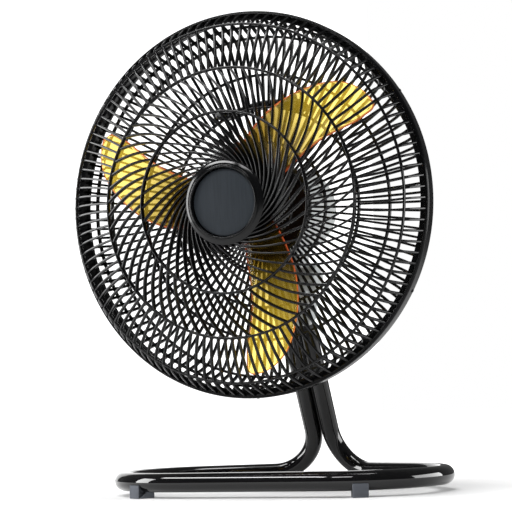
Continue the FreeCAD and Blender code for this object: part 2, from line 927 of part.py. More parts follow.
def bracket_screws():
    """One screw into the back of each upright."""
    screw = turned(pan_screw(bracket_screw, bracket_screw_head, bracket_screw_head_height,
                             bracket_screw_length), -90, axis_x)
    seat = bracket_half_depth + seat_gap
    return [moved(screw, Vector(side * upright_spacing / 2, seat, -bracket_screw_place)) for side in (-1, 1)]


def ear_outside():
    return tongue_half_width + turning_gap + ear_thickness


def tilt_bolt():
    left = -ear_outside() - washer_thickness - 2 * seat_gap
    right = ear_outside() + washer_thickness + tilt_knob_height / 2
    head = rod(bolt_head_radius, left - bolt_head_height, left, axis_x)
    return head.fuse(rod(bolt_radius, left, right, axis_x)).removeSplitter()


def tilt_washers():
    washers = []
    start = ear_outside() + seat_gap
    for side in (-1, 1):
        low = min(side * start, side * (start + washer_thickness))
        ring = rod(washer_radius, low, low + washer_thickness, axis_x)
        bore = rod(bolt_radius + fit, low - overrun, low + washer_thickness + overrun, axis_x)
        washers.append(ring.cut(bore))
    return washers


def tilt_knob():
    """Hand knob on the right end of the tilt bolt, with finger hollows round it."""
    start = ear_outside() + washer_thickness + turning_gap
    end = start + tilt_knob_height
    body = rod(tilt_knob_radius, start, end, axis_x)
    hollow = moved(rod(tilt_knob_grip, start - overrun, end + overrun, axis_x), axis_z * tilt_knob_radius)
    hollows = [turned(hollow, 360 * index / tilt_knob_grips, axis_x) for index in range(tilt_knob_grips)]
    pocket = rod(tilt_nut_radius + seat_gap, start - overrun, start + tilt_nut_height + seat_gap, axis_x)
    bore = rod(bolt_radius + turning_gap, start, end - overrun, axis_x)
    return body.cut(hollows + [pocket, bore])


def tilt_nut():
    start = ear_outside() + washer_thickness + turning_gap
    nut = rod(tilt_nut_radius, start, start + tilt_nut_height, axis_x)
    return nut.cut(rod(bolt_radius + running_fit, start - overrun, start + tilt_nut_height + overrun, axis_x))


# Stand

def stand_points():
    """Corner and tangent points of the right half of the tube's middle line."""
    up = Vector(0, -math.sin(lean), math.cos(lean))
    rise = (pivot_z - tube_height) / math.cos(lean)
    foot = Vector(upright_spacing / 2, pivot_y, pivot_z) - up * rise
    centre = Vector(loop_half_width - corner_radius, corner_radius - front_tube_lead, tube_height)
    reach = centre - foot
    distance = reach.Length
    heading = math.atan2(reach.y, reach.x) + math.asin(corner_radius / distance)
    along = Vector(math.cos(heading), math.sin(heading), 0)
    tangent = foot + along * math.sqrt(distance ** 2 - corner_radius ** 2)
    turn = math.pi - along.getAngle(up)
    cut_back = bend_radius * math.tan(turn / 2)
    middle = (along + up).normalize()
    bend_centre = foot + middle * (bend_radius / math.cos(turn / 2))
    return dict(top=foot + up * (rise - tube_end), upright=foot + up * cut_back,
                bend=bend_centre - middle * bend_radius, run=foot + along * cut_back, along=along,
                tangent=tangent, centre=centre, front=centre - axis_y * corner_radius)


def mirrored(point):
    return Vector(-point.x, point.y, point.z)


def stand_path():
    spots = stand_points()
    centre = spots["centre"]
    middle = (spots["tangent"] - centre + spots["front"] - centre).normalize()
    side_wise = Vector(middle.x, middle.y, 0)
    corner = centre + side_wise * corner_radius

    def half(place):
        names = ("top", "upright", "bend", "run", "tangent", "front")
        top, upright, bend, run, tangent, front = (place(spots[name]) for name in names)
        return [line(top, upright), arc(upright, bend, run), line(run, tangent),
                arc(tangent, place(corner), front)]

    def same(point):
        return point

    front_run = line(spots["front"], mirrored(spots["front"]))
    return Part.Wire(Part.__sortEdges__(half(same) + [front_run] + half(mirrored)))


def stand_tube():
    path = stand_path()
    top = stand_points()["top"]
    up = Vector(0, -math.sin(lean), math.cos(lean))
    outside = Part.Wire(Part.makeCircle(tube_radius, top, up))
    inside = Part.Wire(Part.makeCircle(tube_radius - tube_wall, top, up))
    tube = path.makePipeShell([outside], True, False).cut(path.makePipeShell([inside], True, False))
    holes = [stand_place(hole) for hole in bracket_screw_holes()]
    for spot, angle in foot_spots().values():
        holes.append(moved(rod(foot_screw + fit, 0, tube_height, axis_z), Vector(spot.x, spot.y, 0)))
    return tube.cut(holes)


def foot_spots():
    """Place under the tube and heading of the tube for each foot."""
    spots = stand_points()
    rear = spots["run"] + (spots["tangent"] - spots["run"]) * rear_foot_share
    heading = math.degrees(math.atan2(spots["along"].y, spots["along"].x))
    turn = math.asin((foot_place - spots["centre"].x) / corner_radius)
    front = spots["centre"] + Vector(math.sin(turn), -math.cos(turn), 0) * corner_radius
    front_heading = math.degrees(turn)
    return {
        "foot_front_right": (front, front_heading),
        "foot_front_left": (mirrored(front), -front_heading),
        "foot_rear_right": (rear, heading),
        "foot_rear_left": (mirrored(rear), -heading),
    }


def straight_groove():
    return moved(rod(tube_radius + fit, -foot_width, foot_width, axis_x), axis_z * tube_height)


def bent_groove():
    """Room for the tube under its round corner."""
    return Part.makeTorus(corner_radius, tube_radius + fit, Vector(0, corner_radius, tube_height), axis_z)


def foot(spot, heading, groove):
    """Rubber block that clasps the lower half of the tube."""
    half_width = foot_width / 2
    half_depth = foot_depth / 2
    body = block(Vector(-half_width, -half_depth, 0), Vector(half_width, half_depth, foot_height))
    sink = rod(foot_screw_head + fit, 0, foot_screw_sink, axis_z)
    hole = rod(foot_screw + fit, 0, tube_height, axis_z)
    shape = turned(body.cut([groove, sink, hole]), heading, axis_z)
    return moved(shape, Vector(spot.x, spot.y, 0))


def foot_screws():
    screw = pan_screw(foot_screw, foot_screw_head, foot_screw_head_height, foot_screw_length)
    screw = turned(screw, 180, axis_x)
    screw.translate(axis_z * (foot_screw_sink - seat_gap))
    return [moved(screw, Vector(spot.x, spot.y, 0)) for spot, heading in foot_spots().values()]


# All pieces in their places

def build():
    head = {
        "front_grille": front_grille(),
        "front_badge": front_badge(),
        "rear_grille": rear_grille(),
        "guard_ring": guard_ring(),
        "guard_clips": guard_clips(),
        "guard_clip_screws": guard_clip_screws(),
        "carry_handle": carry_handle(),
        "handle_screws": handle_screws(),
        "grille_nut": grille_nut(),
        "motor_front_shield": front_shield(),
        "motor_rear_shield": rear_shield(),
        "motor_screws": motor_screws(),
        "front_bearing": bearing(collar_front),
        "rear_bearing": bearing(motor_end - shield_face - bearing_width / 2),
        "stator_core": stator_core(),
        "stator_coils": stator_coils(),
        "motor_shaft": motor_shaft(),
        "drive_pin": drive_pin_rod(),
        "rotor_core": rotor_core(),
        "propeller": propeller(),
        "propeller_nut": propeller_nut(),
        "rear_cover": rear_cover(),
        "rear_cover_screws": cover_screws(),
        "speed_switch": speed_switch(),
        "speed_knob": speed_knob(),
        "capacitor": capacitor(),
        "cord_gland": cord_gland(),
        "tilt_neck": tilt_neck(),
        "neck_screws": neck_screws(),
    }
    bracket = {
        "tilt_bracket": tilt_bracket(),
        "bracket_screws": bracket_screws(),
        "tilt_bolt": tilt_bolt(),
        "tilt_washers": tilt_washers(),
        "tilt_knob": tilt_knob(),
        "tilt_nut": tilt_nut(),
    }
    pieces = {"stand_tube": stand_tube(), "foot_screws": foot_screws()}
    for name, (spot, heading) in foot_spots().items():
        groove = bent_groove() if "front" in name else straight_groove()
        pieces[name] = foot(spot, heading, groove)
    for group, place in ((head, head_place), (bracket, stand_place)):
        for name, shape in group.items():
            whole = Part.makeCompound(shape) if isinstance(shape, list) else shape
            pieces[name] = place(whole)
    return pieces


def middle_of(pieces):
    """Half way from the front of the front grille to the back of the stand."""
    front = pieces["front_grille"].optimalBoundingBox().YMin
    back = pieces["stand_tube"].optimalBoundingBox().YMax
    return (front + back) / 2


def main():
    os.makedirs("parts", exist_ok=True)
    pieces = build()
    middle = middle_of(pieces)
    for name, shape in pieces.items():
        whole = Part.makeCompound(shape) if isinstance(shape, list) else shape
        moved(whole, axis_y * -middle).exportStep("parts/" + name + ".step")
    print("fan axis passes", (0, round(-middle, 3), axis_height))
    print("tilt axis passes", (0, round(pivot_y - middle, 3), round(pivot_z, 3)))


main()
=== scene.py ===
import json
import math
import bpy
import numpy as np
from mathutils import Matrix


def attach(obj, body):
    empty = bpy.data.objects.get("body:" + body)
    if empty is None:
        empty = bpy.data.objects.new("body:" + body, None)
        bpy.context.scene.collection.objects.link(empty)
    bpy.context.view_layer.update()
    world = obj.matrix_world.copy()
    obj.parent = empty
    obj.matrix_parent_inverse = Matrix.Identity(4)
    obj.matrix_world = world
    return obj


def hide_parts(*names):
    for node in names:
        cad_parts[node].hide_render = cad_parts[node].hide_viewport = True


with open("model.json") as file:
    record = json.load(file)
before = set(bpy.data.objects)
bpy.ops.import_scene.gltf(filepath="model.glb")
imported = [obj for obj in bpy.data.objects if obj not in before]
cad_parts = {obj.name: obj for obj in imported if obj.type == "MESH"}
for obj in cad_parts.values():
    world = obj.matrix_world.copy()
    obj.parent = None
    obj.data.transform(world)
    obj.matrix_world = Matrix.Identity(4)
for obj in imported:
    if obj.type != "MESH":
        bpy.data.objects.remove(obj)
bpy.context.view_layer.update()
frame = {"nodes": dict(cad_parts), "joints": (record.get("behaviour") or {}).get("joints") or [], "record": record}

bl_info = {
    "name": "Floor Fan",
    "version": (1, 0, 0),
    "blender": (4, 5, 0),
    "location": "View3D > Sidebar > Floor Fan",
    "description": "Tilting floor fan with a spiral guard, an amber propeller and a bent tube stand",
    "category": "Add Mesh",
}

joints = {joint["name"]: joint for joint in frame["joints"]}
fan_middle = np.array(joints["propeller_spin"]["pos_m"])
fan_axis = np.array(joints["propeller_spin"]["axis"])
fan_axis = fan_axis / np.linalg.norm(fan_axis)
fan_up = np.array([0.0, -fan_axis[2], fan_axis[1]])
tilt_pivot = np.array(joints["head_tilt"]["pos_m"])
x_axis = np.array([1.0, 0.0, 0.0])
full_turn = 2 * math.pi


# Sizes and colours that a user would change

def length(name, description, default):
    return bpy.props.FloatProperty(name=name, description=description, default=default, unit="LENGTH",
                                   precision=4)


def colour(name, description, default):
    return bpy.props.FloatVectorProperty(name=name, description=description, default=default, size=4,
                                         subtype="COLOR", min=0.0, max=1.0)


def number(name, description, default):
    return bpy.props.IntProperty(name=name, description=description, default=default, min=3)


def turn(name, description, default):
    return bpy.props.FloatProperty(name=name, description=description, default=math.radians(default),
                                   unit="ROTATION")


class FanGuardSizes(bpy.types.PropertyGroup):
    """Sizes of the two grilles, their ring and the carry handle."""
    hub_radius: length("Hub Radius", "Outside of the front grille's hub", 0.0545)
    hub_reach: length("Hub Reach", "How far the hub stands in front of the ring", 0.0622)
    badge_radius: length("Badge Radius", "Round plate in the hub", 0.044)
    ring_one: length("First Ring", "Radius of the front grille's inner band", 0.1165)
    ring_two: length("Second Ring", "Radius of the front grille's outer band", 0.1742)
    inner_ribs: number("Inner Ribs", "Spiral ribs from the hub to the first ring", 40)
    middle_ribs: number("Middle Ribs", "Slanted ribs from the first to the second ring", 60)
    outer_ribs: number("Outer Ribs", "Ribs from the second ring over the shoulder to the rim", 112)
    inner_start: turn("Inner Start", "Turn of the first inner rib at the first ring", 7.9)
    inner_pull: length("Inner Pull", "Spiral strength: a rib's turn is this over the radius", 0.09138)
    middle_start: turn("Middle Start", "Turn of the first middle rib at the first ring", 2.4)
    middle_sweep: turn("Middle Sweep", "Turn of a middle rib between the two rings", 16.7)
    outer_start: turn("Outer Start", "Turn of the first outer rib at the second ring", 1.9)
    outer_sweep: turn("Outer Sweep", "Turn of an outer rib on its way to the rim", 1.8)
    rib_width: length("Rib Width", "Width of a front rib", 0.0025)
    rib_depth: length("Rib Depth", "Depth of a front rib", 0.0062)
    fin_depth: length("Fin Depth", "Added depth of the inner ribs where they meet the hub", 0.014)
    ring_radius: length("Ring Radius", "Outside of the guard ring", 0.2548)
    ring_width: length("Ring Width", "Width of the guard ring along the axis", 0.022)
    plate_radius: length("Plate Radius", "Solid middle of the rear grille", 0.066)
    rear_inner_ribs: number("Rear Inner Ribs", "Ribs from the plate to the second rear band", 80)
    rear_outer_ribs: number("Rear Outer Ribs", "Ribs from the second rear band to the rim", 120)
    rear_rib: length("Rear Rib", "Width of a rear rib", 0.0030)
    handle_radius: length("Handle Radius", "Bow of the carry handle about the fan axis", 0.145)
    handle_turn: turn("Handle Turn", "Half of the handle's bow", 23.0)


class FanPropellerSizes(bpy.types.PropertyGroup):
    """Sizes of the propeller."""
    blades: number("Blades", "Number of blades", 3)
    tip_radius: length("Tip Radius", "Radius of the blade tips", 0.2235)
    thickness: length("Thickness", "Thickness of a blade", 0.0024)
    start: turn("Start", "Turn of the first blade's front edge", 29.0)
    reach: length("Reach", "Middle of the blades in front of the ring", 0.0105)
    hub_radius: length("Hub Radius", "Outside of the propeller's hub", 0.034)
    hollow: length("Hollow", "How far the front edge curves into the blade", 0.009)
    corner: length("Corner", "Round of the front tip corner", 0.011)
    camber: length("Camber", "Bulge of a blade to the front", 0.003)


class FanStandSizes(bpy.types.PropertyGroup):
    """Sizes of the stand."""
    tube_radius: length("Tube Radius", "Outside of the bent tube", 0.0125)
    foot_lift: length("Foot Lift", "Underside of the tube above the floor", 0.008)
    front_lead: length("Front Lead", "Front bar ahead of the fan ring's middle", 0.027)
    half_width: length("Half Width", "Half of the floor loop, to the tube's middle", 0.2244)
    corner_radius: length("Corner Radius", "Bend at the front corners", 0.122)
    bend_radius: length("Bend Radius", "Bend from the floor loop to the uprights", 0.055)
    spacing: length("Spacing", "Between the middles of the two uprights", 0.0265)
    lean: turn("Lean", "Forward lean of the uprights", 27.5)
    tube_end: length("Tube End", "Top of the uprights below the tilt bolt", 0.036)
    foot_place: length("Foot Place", "Front feet from the middle", 0.153)


class FanColours(bpy.types.PropertyGroup):
    """Colours of the finishes."""
    guard_black: colour("Guard Black", "Moulded plastic of the grilles", (0.0018, 0.0019, 0.0022, 1.0))
    badge_slate: colour("Badge Slate", "Plate in the hub", (0.0205, 0.025, 0.0305, 1.0))
    # Blade colours: the first is the plastic's own amber. The second is painted shade towards the root and the
    # round edge, not thicker plastic. The two glow colours feed the emission as painted glow, gold where the blade
    # is lit and nearly none in the painted shade. The last is a painted red-orange glow along the blade edges,
    # used in both colour and emission.
    amber: colour("Amber", "Propeller plastic where it is thin", (0.97, 0.82, 0.26, 1.0))
    amber_painted_shade: colour("Amber Painted Shade", "Propeller plastic where it is thick", (0.2, 0.11, 0.006, 1.0))
    glow: colour("Amber Painted Glow", "Light inside the thin plastic", (1.0, 0.68, 0.03, 1.0))
    glow_painted_shade: colour("Glow In Painted Shade", "Light inside the thick plastic", (0.004, 0.002, 0.0, 1.0))
    amber_painted_edge_glow: colour("Amber Painted Edge Glow", "Glow along the blade edges", (0.62, 0.135, 0.045, 1.0))
    cover_grey: colour("Cover Grey", "Plastic of the cover, neck and bracket", (0.5, 0.52, 0.52, 1.0))
    tube_black: colour("Tube Black", "Gloss paint of the stand", (0.002, 0.002, 0.0023, 1.0))
    foot_grey: colour("Foot Grey", "Rubber of the feet", (0.085, 0.092, 0.107, 1.0))
    steel: colour("Steel", "Plated screws and bolt", (0.6, 0.6, 0.61, 1.0))


def colours():
    return bpy.context.scene.fan_colours


def guard():
    return bpy.context.scene.fan_guard


def stand():
    return bpy.context.scene.fan_stand


# Moulded outlines as (radius, y) in metres, y counted back along the fan axis from the fan's middle

dome_end = 0.2522
dome_shoulder = [(0.205, -0.0482), (0.2255, -0.0422), (0.2335, -0.0382), (0.2392, -0.0310), (0.2458, -0.0185),
                 (dome_end, -0.0045)]
shoulder_radius = 0.2327
front_rim = [(0.2432, -0.0006), (0.2432, -0.0032), (0.2500, -0.0036), (0.2508, -0.0064), (0.2518, -0.0064),
             (0.2526, -0.0042), (0.2526, -0.0006)]
hub_section = [(0.0440, -0.0584), (0.0440, -0.0640), (0.0449, -0.0664), (0.0466, -0.0664), (0.0477, -0.0646),
               (0.0500, -0.0644), (0.0546, -0.0624), (0.0566, -0.0596), (0.0566, -0.0440), (0.0520, -0.0440),
               (0.0500, -0.0540), (0.0080, -0.0548), (0.0080, -0.0588)]
bowl_end = 0.2486
rear_split = 0.136
bowl_line = [(0.060, 0.0740), (0.088, 0.0736), (rear_split, 0.0720), (0.180, 0.0690), (0.212, 0.0660),
             (0.224, 0.0630), (0.2315, 0.0585), (0.2365, 0.0500), (0.2415, 0.0370), (bowl_end, 0.0200)]
rear_bands = (0.088, rear_split, 0.180, 0.230, 0.2412)
rear_rim = [(bowl_end, -0.0004), (0.2526, -0.0004), (0.2526, 0.0060), (0.2506, 0.0064), (0.2504, 0.0280),
            (0.2494, 0.0288), (0.2484, 0.0280)]
handle_pad = [(0, 0.0629), (0.0078, 0.0629), (0.0085, 0.0636), (0.0085, 0.0712), (0.0078, 0.0718),
              (0, 0.0718)]
mould_round = 0.0008
hub_round = 0.0018

# Sections of the bracket as (height from the tilt bolt, half width, half depth)
clamp_sections = np.array([(-0.0660, 0.0255, 0.0148), (-0.0656, 0.0264, 0.0158), (-0.0640, 0.0268, 0.0166),
                           (-0.0560, 0.0285, 0.0170), (-0.0400, 0.0318, 0.0170), (-0.0270, 0.0329, 0.0170),
                           (-0.0246, 0.0325, 0.0166), (-0.0240, 0.0315, 0.0156)])

# Sections of the tilt knob as (place along the bolt, share of its outline)
knob_sections = np.array([(0.0272, 0.84), (0.0275, 0.92), (0.0286, 1.0), (0.0300, 1.02), (0.0440, 1.0),
                          (0.0458, 0.97), (0.0468, 0.91), (0.0472, 0.82), (0.0472, 0.45), (0.0466, 0.40),
                          (0.0466, 0.10)])


# Shapes as whole arrays

def placed(shell, origin, along, rise):
    """Shell moved to its place: origin + x X + y along + z rise."""
    points, faces = shell
    return origin + points[:, 0:1] * x_axis + points[:, 1:2] * along + points[:, 2:3] * rise, faces


def in_head(shell):
    """Shell given from the fan's middle: across, back along the fan axis and up."""
    return placed(shell, fan_middle, fan_axis, fan_up)


def upright():
    """Way up along the leaning uprights."""
    lean = stand().lean
    return np.array([0.0, -math.sin(lean), math.cos(lean)])


def at_pivot(shell):
    """Shell given from the tilt bolt: across, back and up along the uprights."""
    lean = stand().lean
    back = np.array([0.0, math.cos(lean), math.sin(lean)])
    return placed(shell, tilt_pivot, back, upright())


def polar(radius, angle, y):
    """(r cos a, y, r sin a), the angle counted counter-clockwise seen from the front."""
    radius, angle, y = np.broadcast_arrays(radius, angle, y)
    return np.stack([radius * np.cos(angle), y, radius * np.sin(angle)], axis=-1)


def unit(vectors):
    return vectors / np.maximum(np.linalg.norm(vectors, axis=-1, keepdims=True), 1e-12)


def even_angles(count, start=0.0):
    return start + np.arange(count) * full_turn / count


def even_steps(line, count):
    """Points at even steps of length along a line of points."""
    walked = np.concatenate([[0], np.cumsum(np.linalg.norm(np.diff(line, axis=0), axis=1))])
    steps = np.linspace(0, walked[-1], count)
    return np.stack([np.interp(steps, walked, line[:, k]) for k in range(line.shape[1])], axis=-1)


def smooth_curve(keys, count):
    """Catmull-Rom curve through key points, on each span the cubic of its four neighbours, at even steps."""
    keys = np.asarray(keys, float)
    padded = np.vstack([2 * keys[0] - keys[1], keys, 2 * keys[-1] - keys[-2]])
    spans = len(keys) - 1
    steps_per_span = 60
    dense = np.linspace(0, spans, steps_per_span * spans + 1)
    span = np.minimum(dense.astype(int), spans - 1)
    t = (dense - span)[:, None]
    a, b, c, d = (padded[span + offset] for offset in range(4))
    square = 2 * a - 5 * b + 4 * c - d
    cube = 3 * b - a - 3 * c + d
    return even_steps(0.5 * (2 * b + (c - a) * t + square * t ** 2 + cube * t ** 3), count)


def stretch(keys, count, start, end):
    """Radii and heights at even steps on the smooth curve through the keys, between two radii."""
    fine_steps = 900
    line = smooth_curve(keys, fine_steps)
    first, last = (np.argmin(np.abs(line[:, 0] - radius)) for radius in (start, end))
    return even_steps(line[first:last + 1], count).T


def dome(count, start, end):
    """Front of the front grille: one smooth curve over the hub, the two bands and the shoulder."""
    g = guard()
    keys = [(g.hub_radius - 0.012, -0.0600), (g.hub_radius, -g.hub_reach), (0.086, -0.0668),
            (g.ring_one, -0.0688), (0.146, -0.0634), (g.ring_two, -0.0557)]
    return stretch(keys + dome_shoulder, count, start, end)


def bowl(count, start, end):
    """Back of the rear grille: one smooth curve from the plate over the shoulder."""
    return stretch(bowl_line, count, start, end)


def height_at(surface, radius):
    """Height of a turned surface at a radius: the first point of a short stretch that starts there."""
    short = 0.001
    return surface(2, radius, radius + short)[1][0]


def rounded(corners, radius, steps=4):
    """Closed outline with each corner cut back by the radius, or by a share of its shorter side where that is
    less, and filled by a quadratic arc."""
    side_share = 0.45
    corners = np.asarray(corners, float)
    before = np.roll(corners, 1, axis=0) - corners
    after = np.roll(corners, -1, axis=0) - corners
    limit = side_share * np.minimum(np.linalg.norm(before, axis=1), np.linalg.norm(after, axis=1))
    cut = np.minimum(radius, limit)[:, None]
    first = corners + unit(before) * cut
    last = corners + unit(after) * cut
    t = np.linspace(0, 1, steps + 1)[None, :, None]
    arc = (1 - t) ** 2 * first[:, None] + 2 * t * (1 - t) * corners[:, None] + t ** 2 * last[:, None]
    return arc.reshape(-1, corners.shape[1])


def oval(points, power):
    """Superellipse |x|^p + |y|^p = 1 at even steps of angle, as (x, y)."""
    angle = np.arange(points) * full_turn / points + full_turn / points / 2
    sides = np.stack([np.cos(angle), np.sin(angle)], axis=-1)
    return np.sign(sides) * np.abs(sides) ** (2 / power)


def grid_faces(rows, columns, wrap_rows=False):
    """Quads of a grid whose columns close into a ring, and its rows too where they wrap."""
    i = np.arange(rows if wrap_rows else rows - 1)[:, None]
    j = np.arange(columns)[None, :]
    row, next_row = i * columns, (i + 1) % rows * columns
    next_j = (j + 1) % columns
    quads = np.broadcast_arrays(row + j, row + next_j, next_row + next_j, next_row + j)
    return np.stack(quads, axis=-1).reshape(-1, 4)


def signed_volume(points, faces):
    """Sum over fan triangles of a . (b x c) / 6."""
    total = 0.0
    for block in faces:
        a = points[block[:, 0]]
        for k in range(1, block.shape[1] - 1):
            b, c = points[block[:, k]], points[block[:, k + 1]]
            total += np.einsum("ij,ij->", a, np.cross(b, c))
    return total / 6


def outward(points, faces):
    """The shell with its faces turned outwards."""
    if signed_volume(points, faces) < 0:
        faces = [block[:, ::-1] for block in faces]
    return points, faces


def skin(grid, closed_path=False):
    """Closed shell of a profile carried along a path: rows are path steps, columns go round the profile."""
    rows, columns = grid.shape[:2]
    faces = [grid_faces(rows, columns, closed_path)]
    if not closed_path:
        faces += [np.arange(columns)[None, :], np.arange((rows - 1) * columns, rows * columns)[None, ::-1]]
    return outward(grid.reshape(-1, 3), faces)


def spun(profile, steps=160):
    """Closed profile of (radius, y) turned about the fan axis: (r cos a, y, r sin a)."""
    angle = np.arange(steps)[:, None] * full_turn / steps
    profile = np.asarray(profile, float)
    return skin(polar(profile[None, :, 0], angle, profile[None, :, 1]), closed_path=True)


def disc(profile, steps=128):
    """Open profile of (radius, y) from axis to axis, turned about the fan axis, with a point at each end."""
    profile = np.asarray(profile, float)
    angle = np.arange(steps)[None, :] * full_turn / steps
    inner = profile[1:-1]
    rows = len(inner)
    grid = polar(inner[:, 0:1], angle, inner[:, 1:2])
    points = np.vstack([grid.reshape(-1, 3), [[0, profile[0, 1], 0]], [[0, profile[-1, 1], 0]]])
    j = np.arange(steps)
    first = np.stack([np.full(steps, rows * steps), (j + 1) % steps, j], axis=-1)
    base = (rows - 1) * steps
    last = np.stack([np.full(steps, rows * steps + 1), base + j, base + (j + 1) % steps], axis=-1)
    return outward(points, [grid_faces(rows, steps), first, last])


def around(shell, angles):
    """Copies of a shell turned about the fan axis: x and z turned by each angle."""
    points, faces = shell
    c, s = np.cos(angles)[:, None], np.sin(angles)[:, None]
    x = points[None, :, 0] * c - points[None, :, 2] * s
    z = points[None, :, 0] * s + points[None, :, 2] * c
    y = np.broadcast_to(points[None, :, 1], x.shape)
    shift = (np.arange(len(angles)) * len(points))[:, None, None]
    many = [(block[None] + shift).reshape(-1, block.shape[1]) for block in faces]
    return np.stack([x, y, z], axis=-1).reshape(-1, 3), many


def joined(shells):
    """Several shells as one list of points and faces."""
    points, faces, shift = [], [], 0
    for shell_points, shell_faces in shells:
        points.append(shell_points)
        faces += [block + shift for block in shell_faces]
        shift += len(shell_points)
    return np.vstack(points), faces


def ribs(count, radius, y, angle, width, depth):
    """Ribs on a turned surface: a bar with cut corners carried along (r, y, a), its front on the surface
    and its depth behind it, repeated round the fan axis."""
    path = polar(radius, angle, y)
    depth = np.broadcast_to(depth, radius.shape)[:, None, None]
    along = unit(np.gradient(path, axis=0))
    normal = unit(polar(np.gradient(y), angle, -np.gradient(radius)))
    side = unit(np.cross(along, normal))
    corner = np.array([(1.0, 0.88), (0.55, 1.0)])
    right = np.vstack([corner, corner[::-1] * [-1, 1]])
    shape = np.vstack([right, -right])
    across = side[:, None] * shape[None, :, 0:1] * width / 2
    behind = normal[:, None] * (1 - shape[None, :, 1:2]) * depth / 2
    return around(skin(path[:, None] + (across - behind)), even_angles(count))


def band(radius, y, width, depth):
    """Ring with an oval section, its front at y."""
    shape = oval(points=12, power=3.2)
    return spun(np.stack([radius + shape[:, 0] * width / 2, y + (1 - shape[:, 1]) * depth / 2], axis=-1))


def tube(path, radius, sides):
    """Round bar along a path: each frame is the last one carried over by a double reflection."""
    along = unit(np.gradient(path, axis=0))
    across = np.zeros_like(path)
    any_way = [0.3, 0.2, 0.9]
    tiny = 1e-18
    across[0] = unit(np.cross(along[0], any_way))
    for k in range(len(path) - 1):
        v = path[k + 1] - path[k]
        moved = across[k] - 2 * v * (v @ across[k]) / (v @ v)
        turned = along[k] - 2 * v * (v @ along[k]) / (v @ v)
        w = along[k + 1] - turned
        across[k + 1] = moved - 2 * w * (w @ moved) / max(w @ w, tiny)
    binormal = np.cross(along, across)
    angle = np.arange(sides) * full_turn / sides
    ring = np.cos(angle)[None, :, None] * across[:, None] + np.sin(angle)[None, :, None] * binormal[:, None]
    return skin(path[:, None] + radius * ring)


def make_piece(name, shell, body, finish, nodes, crease=38.0):
    """Mesh object from a shell, riding its body and standing for the named nodes."""
    points, faces = shell
    mesh = bpy.data.meshes.new(name)
    mesh.from_pydata(points.tolist(), [], [face for block in faces for face in block.tolist()])
    if mesh.validate():
        raise RuntimeError(name + " has bad faces")
    mesh.shade_smooth()
    mesh.set_sharp_from_angle(angle=math.radians(crease))
    piece = bpy.data.objects.new(name, mesh)
    bpy.context.scene.collection.objects.link(piece)
    mesh.materials.append(finish)
    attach(piece, body)
    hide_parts(*nodes)
    return piece


# Finishes

def add(tree, kind, settings=(), **links):
    """New node with its settings, and its inputs linked or set by name, or by i and the input's number."""
    node = tree.nodes.new(kind)
    for key, value in dict(settings).items():
        setattr(node, key, value)
    for key, value in links.items():
        numbered = key[0] == "i" and key[1:].isdigit()
        socket = node.inputs[int(key[1:]) if numbered else key.replace("_", " ")]
        if isinstance(value, bpy.types.NodeSocket):
            tree.links.new(value, socket)
        else:
            socket.default_value = value
    return node


def maths(tree, operation, first, second):
    return add(tree, "ShaderNodeMath", {"operation": operation}, i0=first, i1=second).outputs[0]


def blend(tree, share, first, second):
    """Colour between two others, by a share from 0 to 1."""
    return add(tree, "ShaderNodeMix", {"data_type": "RGBA"}, i0=share, i6=first, i7=second).outputs[2]


def spread(tree, value, low, high, first=0.0, last=1.0):
    """Value stretched from low to high onto first to last."""
    return add(tree, "ShaderNodeMapRange", i0=value, i1=low, i2=high, i3=first, i4=last).outputs[0]


def noise(tree, scale, detail, **more):
    place = add(tree, "ShaderNodeTexCoord")
    values = {"Vector": place.outputs["Object"], "Scale": scale, "Detail": detail, **more}
    return add(tree, "ShaderNodeTexNoise", **values).outputs["Fac"]


def new_group(name, inputs, outputs):
    """Empty shader group with named sockets: inputs as (name, kind, default), outputs as (name, kind)."""
    group = bpy.data.node_groups.new(name, "ShaderNodeTree")
    for label, kind, default in inputs:
        socket = group.interface.new_socket(label, in_out="INPUT", socket_type="NodeSocket" + kind)
        socket.default_value = default
    for label, kind in outputs:
        group.interface.new_socket(label, in_out="OUTPUT", socket_type="NodeSocket" + kind)
    return group, group.nodes.new("NodeGroupInput").outputs, group.nodes.new("NodeGroupOutput").inputs


def moulded_grain():
    """Fine moulded skin: a small noise for the bump and a larger one that varies the gloss."""
    name = "Moulded Grain"
    if name in bpy.data.node_groups:
        return bpy.data.node_groups[name]
    group, given, made = new_group(
        name, [("Grain Scale", "Float", 900.0), ("Grain Height", "Float", 0.05), ("Gloss Low", "Float", 0.3),
               ("Gloss High", "Float", 0.42)],
        [("Roughness", "Float"), ("Normal", "Vector"), ("Blotch", "Float")])
    fine = noise(group, given["Grain Scale"], detail=3.0)
    broad = noise(group, scale=23.0, detail=4.0, Roughness=0.6)
    gloss = spread(group, broad, low=0.3, high=0.7, first=given["Gloss Low"], last=given["Gloss High"])
    bump = add(group, "ShaderNodeBump", Height=fine, Strength=given["Grain Height"], Distance=0.001)
    group.links.new(gloss, made["Roughness"])
    group.links.new(bump.outputs["Normal"], made["Normal"])
    group.links.new(broad, made["Blotch"])
    return group


def dust_film():
    """Thin dust that gathers on upward faces: the normal's height times a noise."""
    name = "Dust Film"
    if name in bpy.data.node_groups:
        return bpy.data.node_groups[name]
    group, given, made = new_group(
        name, [("Base", "Color", (0.1, 0.1, 0.1, 1.0)), ("Dust", "Color", (0.35, 0.34, 0.32, 1.0)),
               ("Amount", "Float", 0.1)], [("Color", "Color")])
    shape = add(group, "ShaderNodeNewGeometry")
    parts = add(group, "ShaderNodeSeparateXYZ", Vector=shape.outputs["Normal"])
    facing_up = spread(group, parts.outputs["Z"], low=0.2, high=1.0)
    patches = spread(group, noise(group, scale=160.0, detail=6.0, Roughness=0.7), low=0.38, high=0.72)
    mask = maths(group, "MULTIPLY", maths(group, "MULTIPLY", facing_up, patches), given["Amount"])
    group.links.new(blend(group, mask, given["Base"], given["Dust"]), made["Color"])
    return group


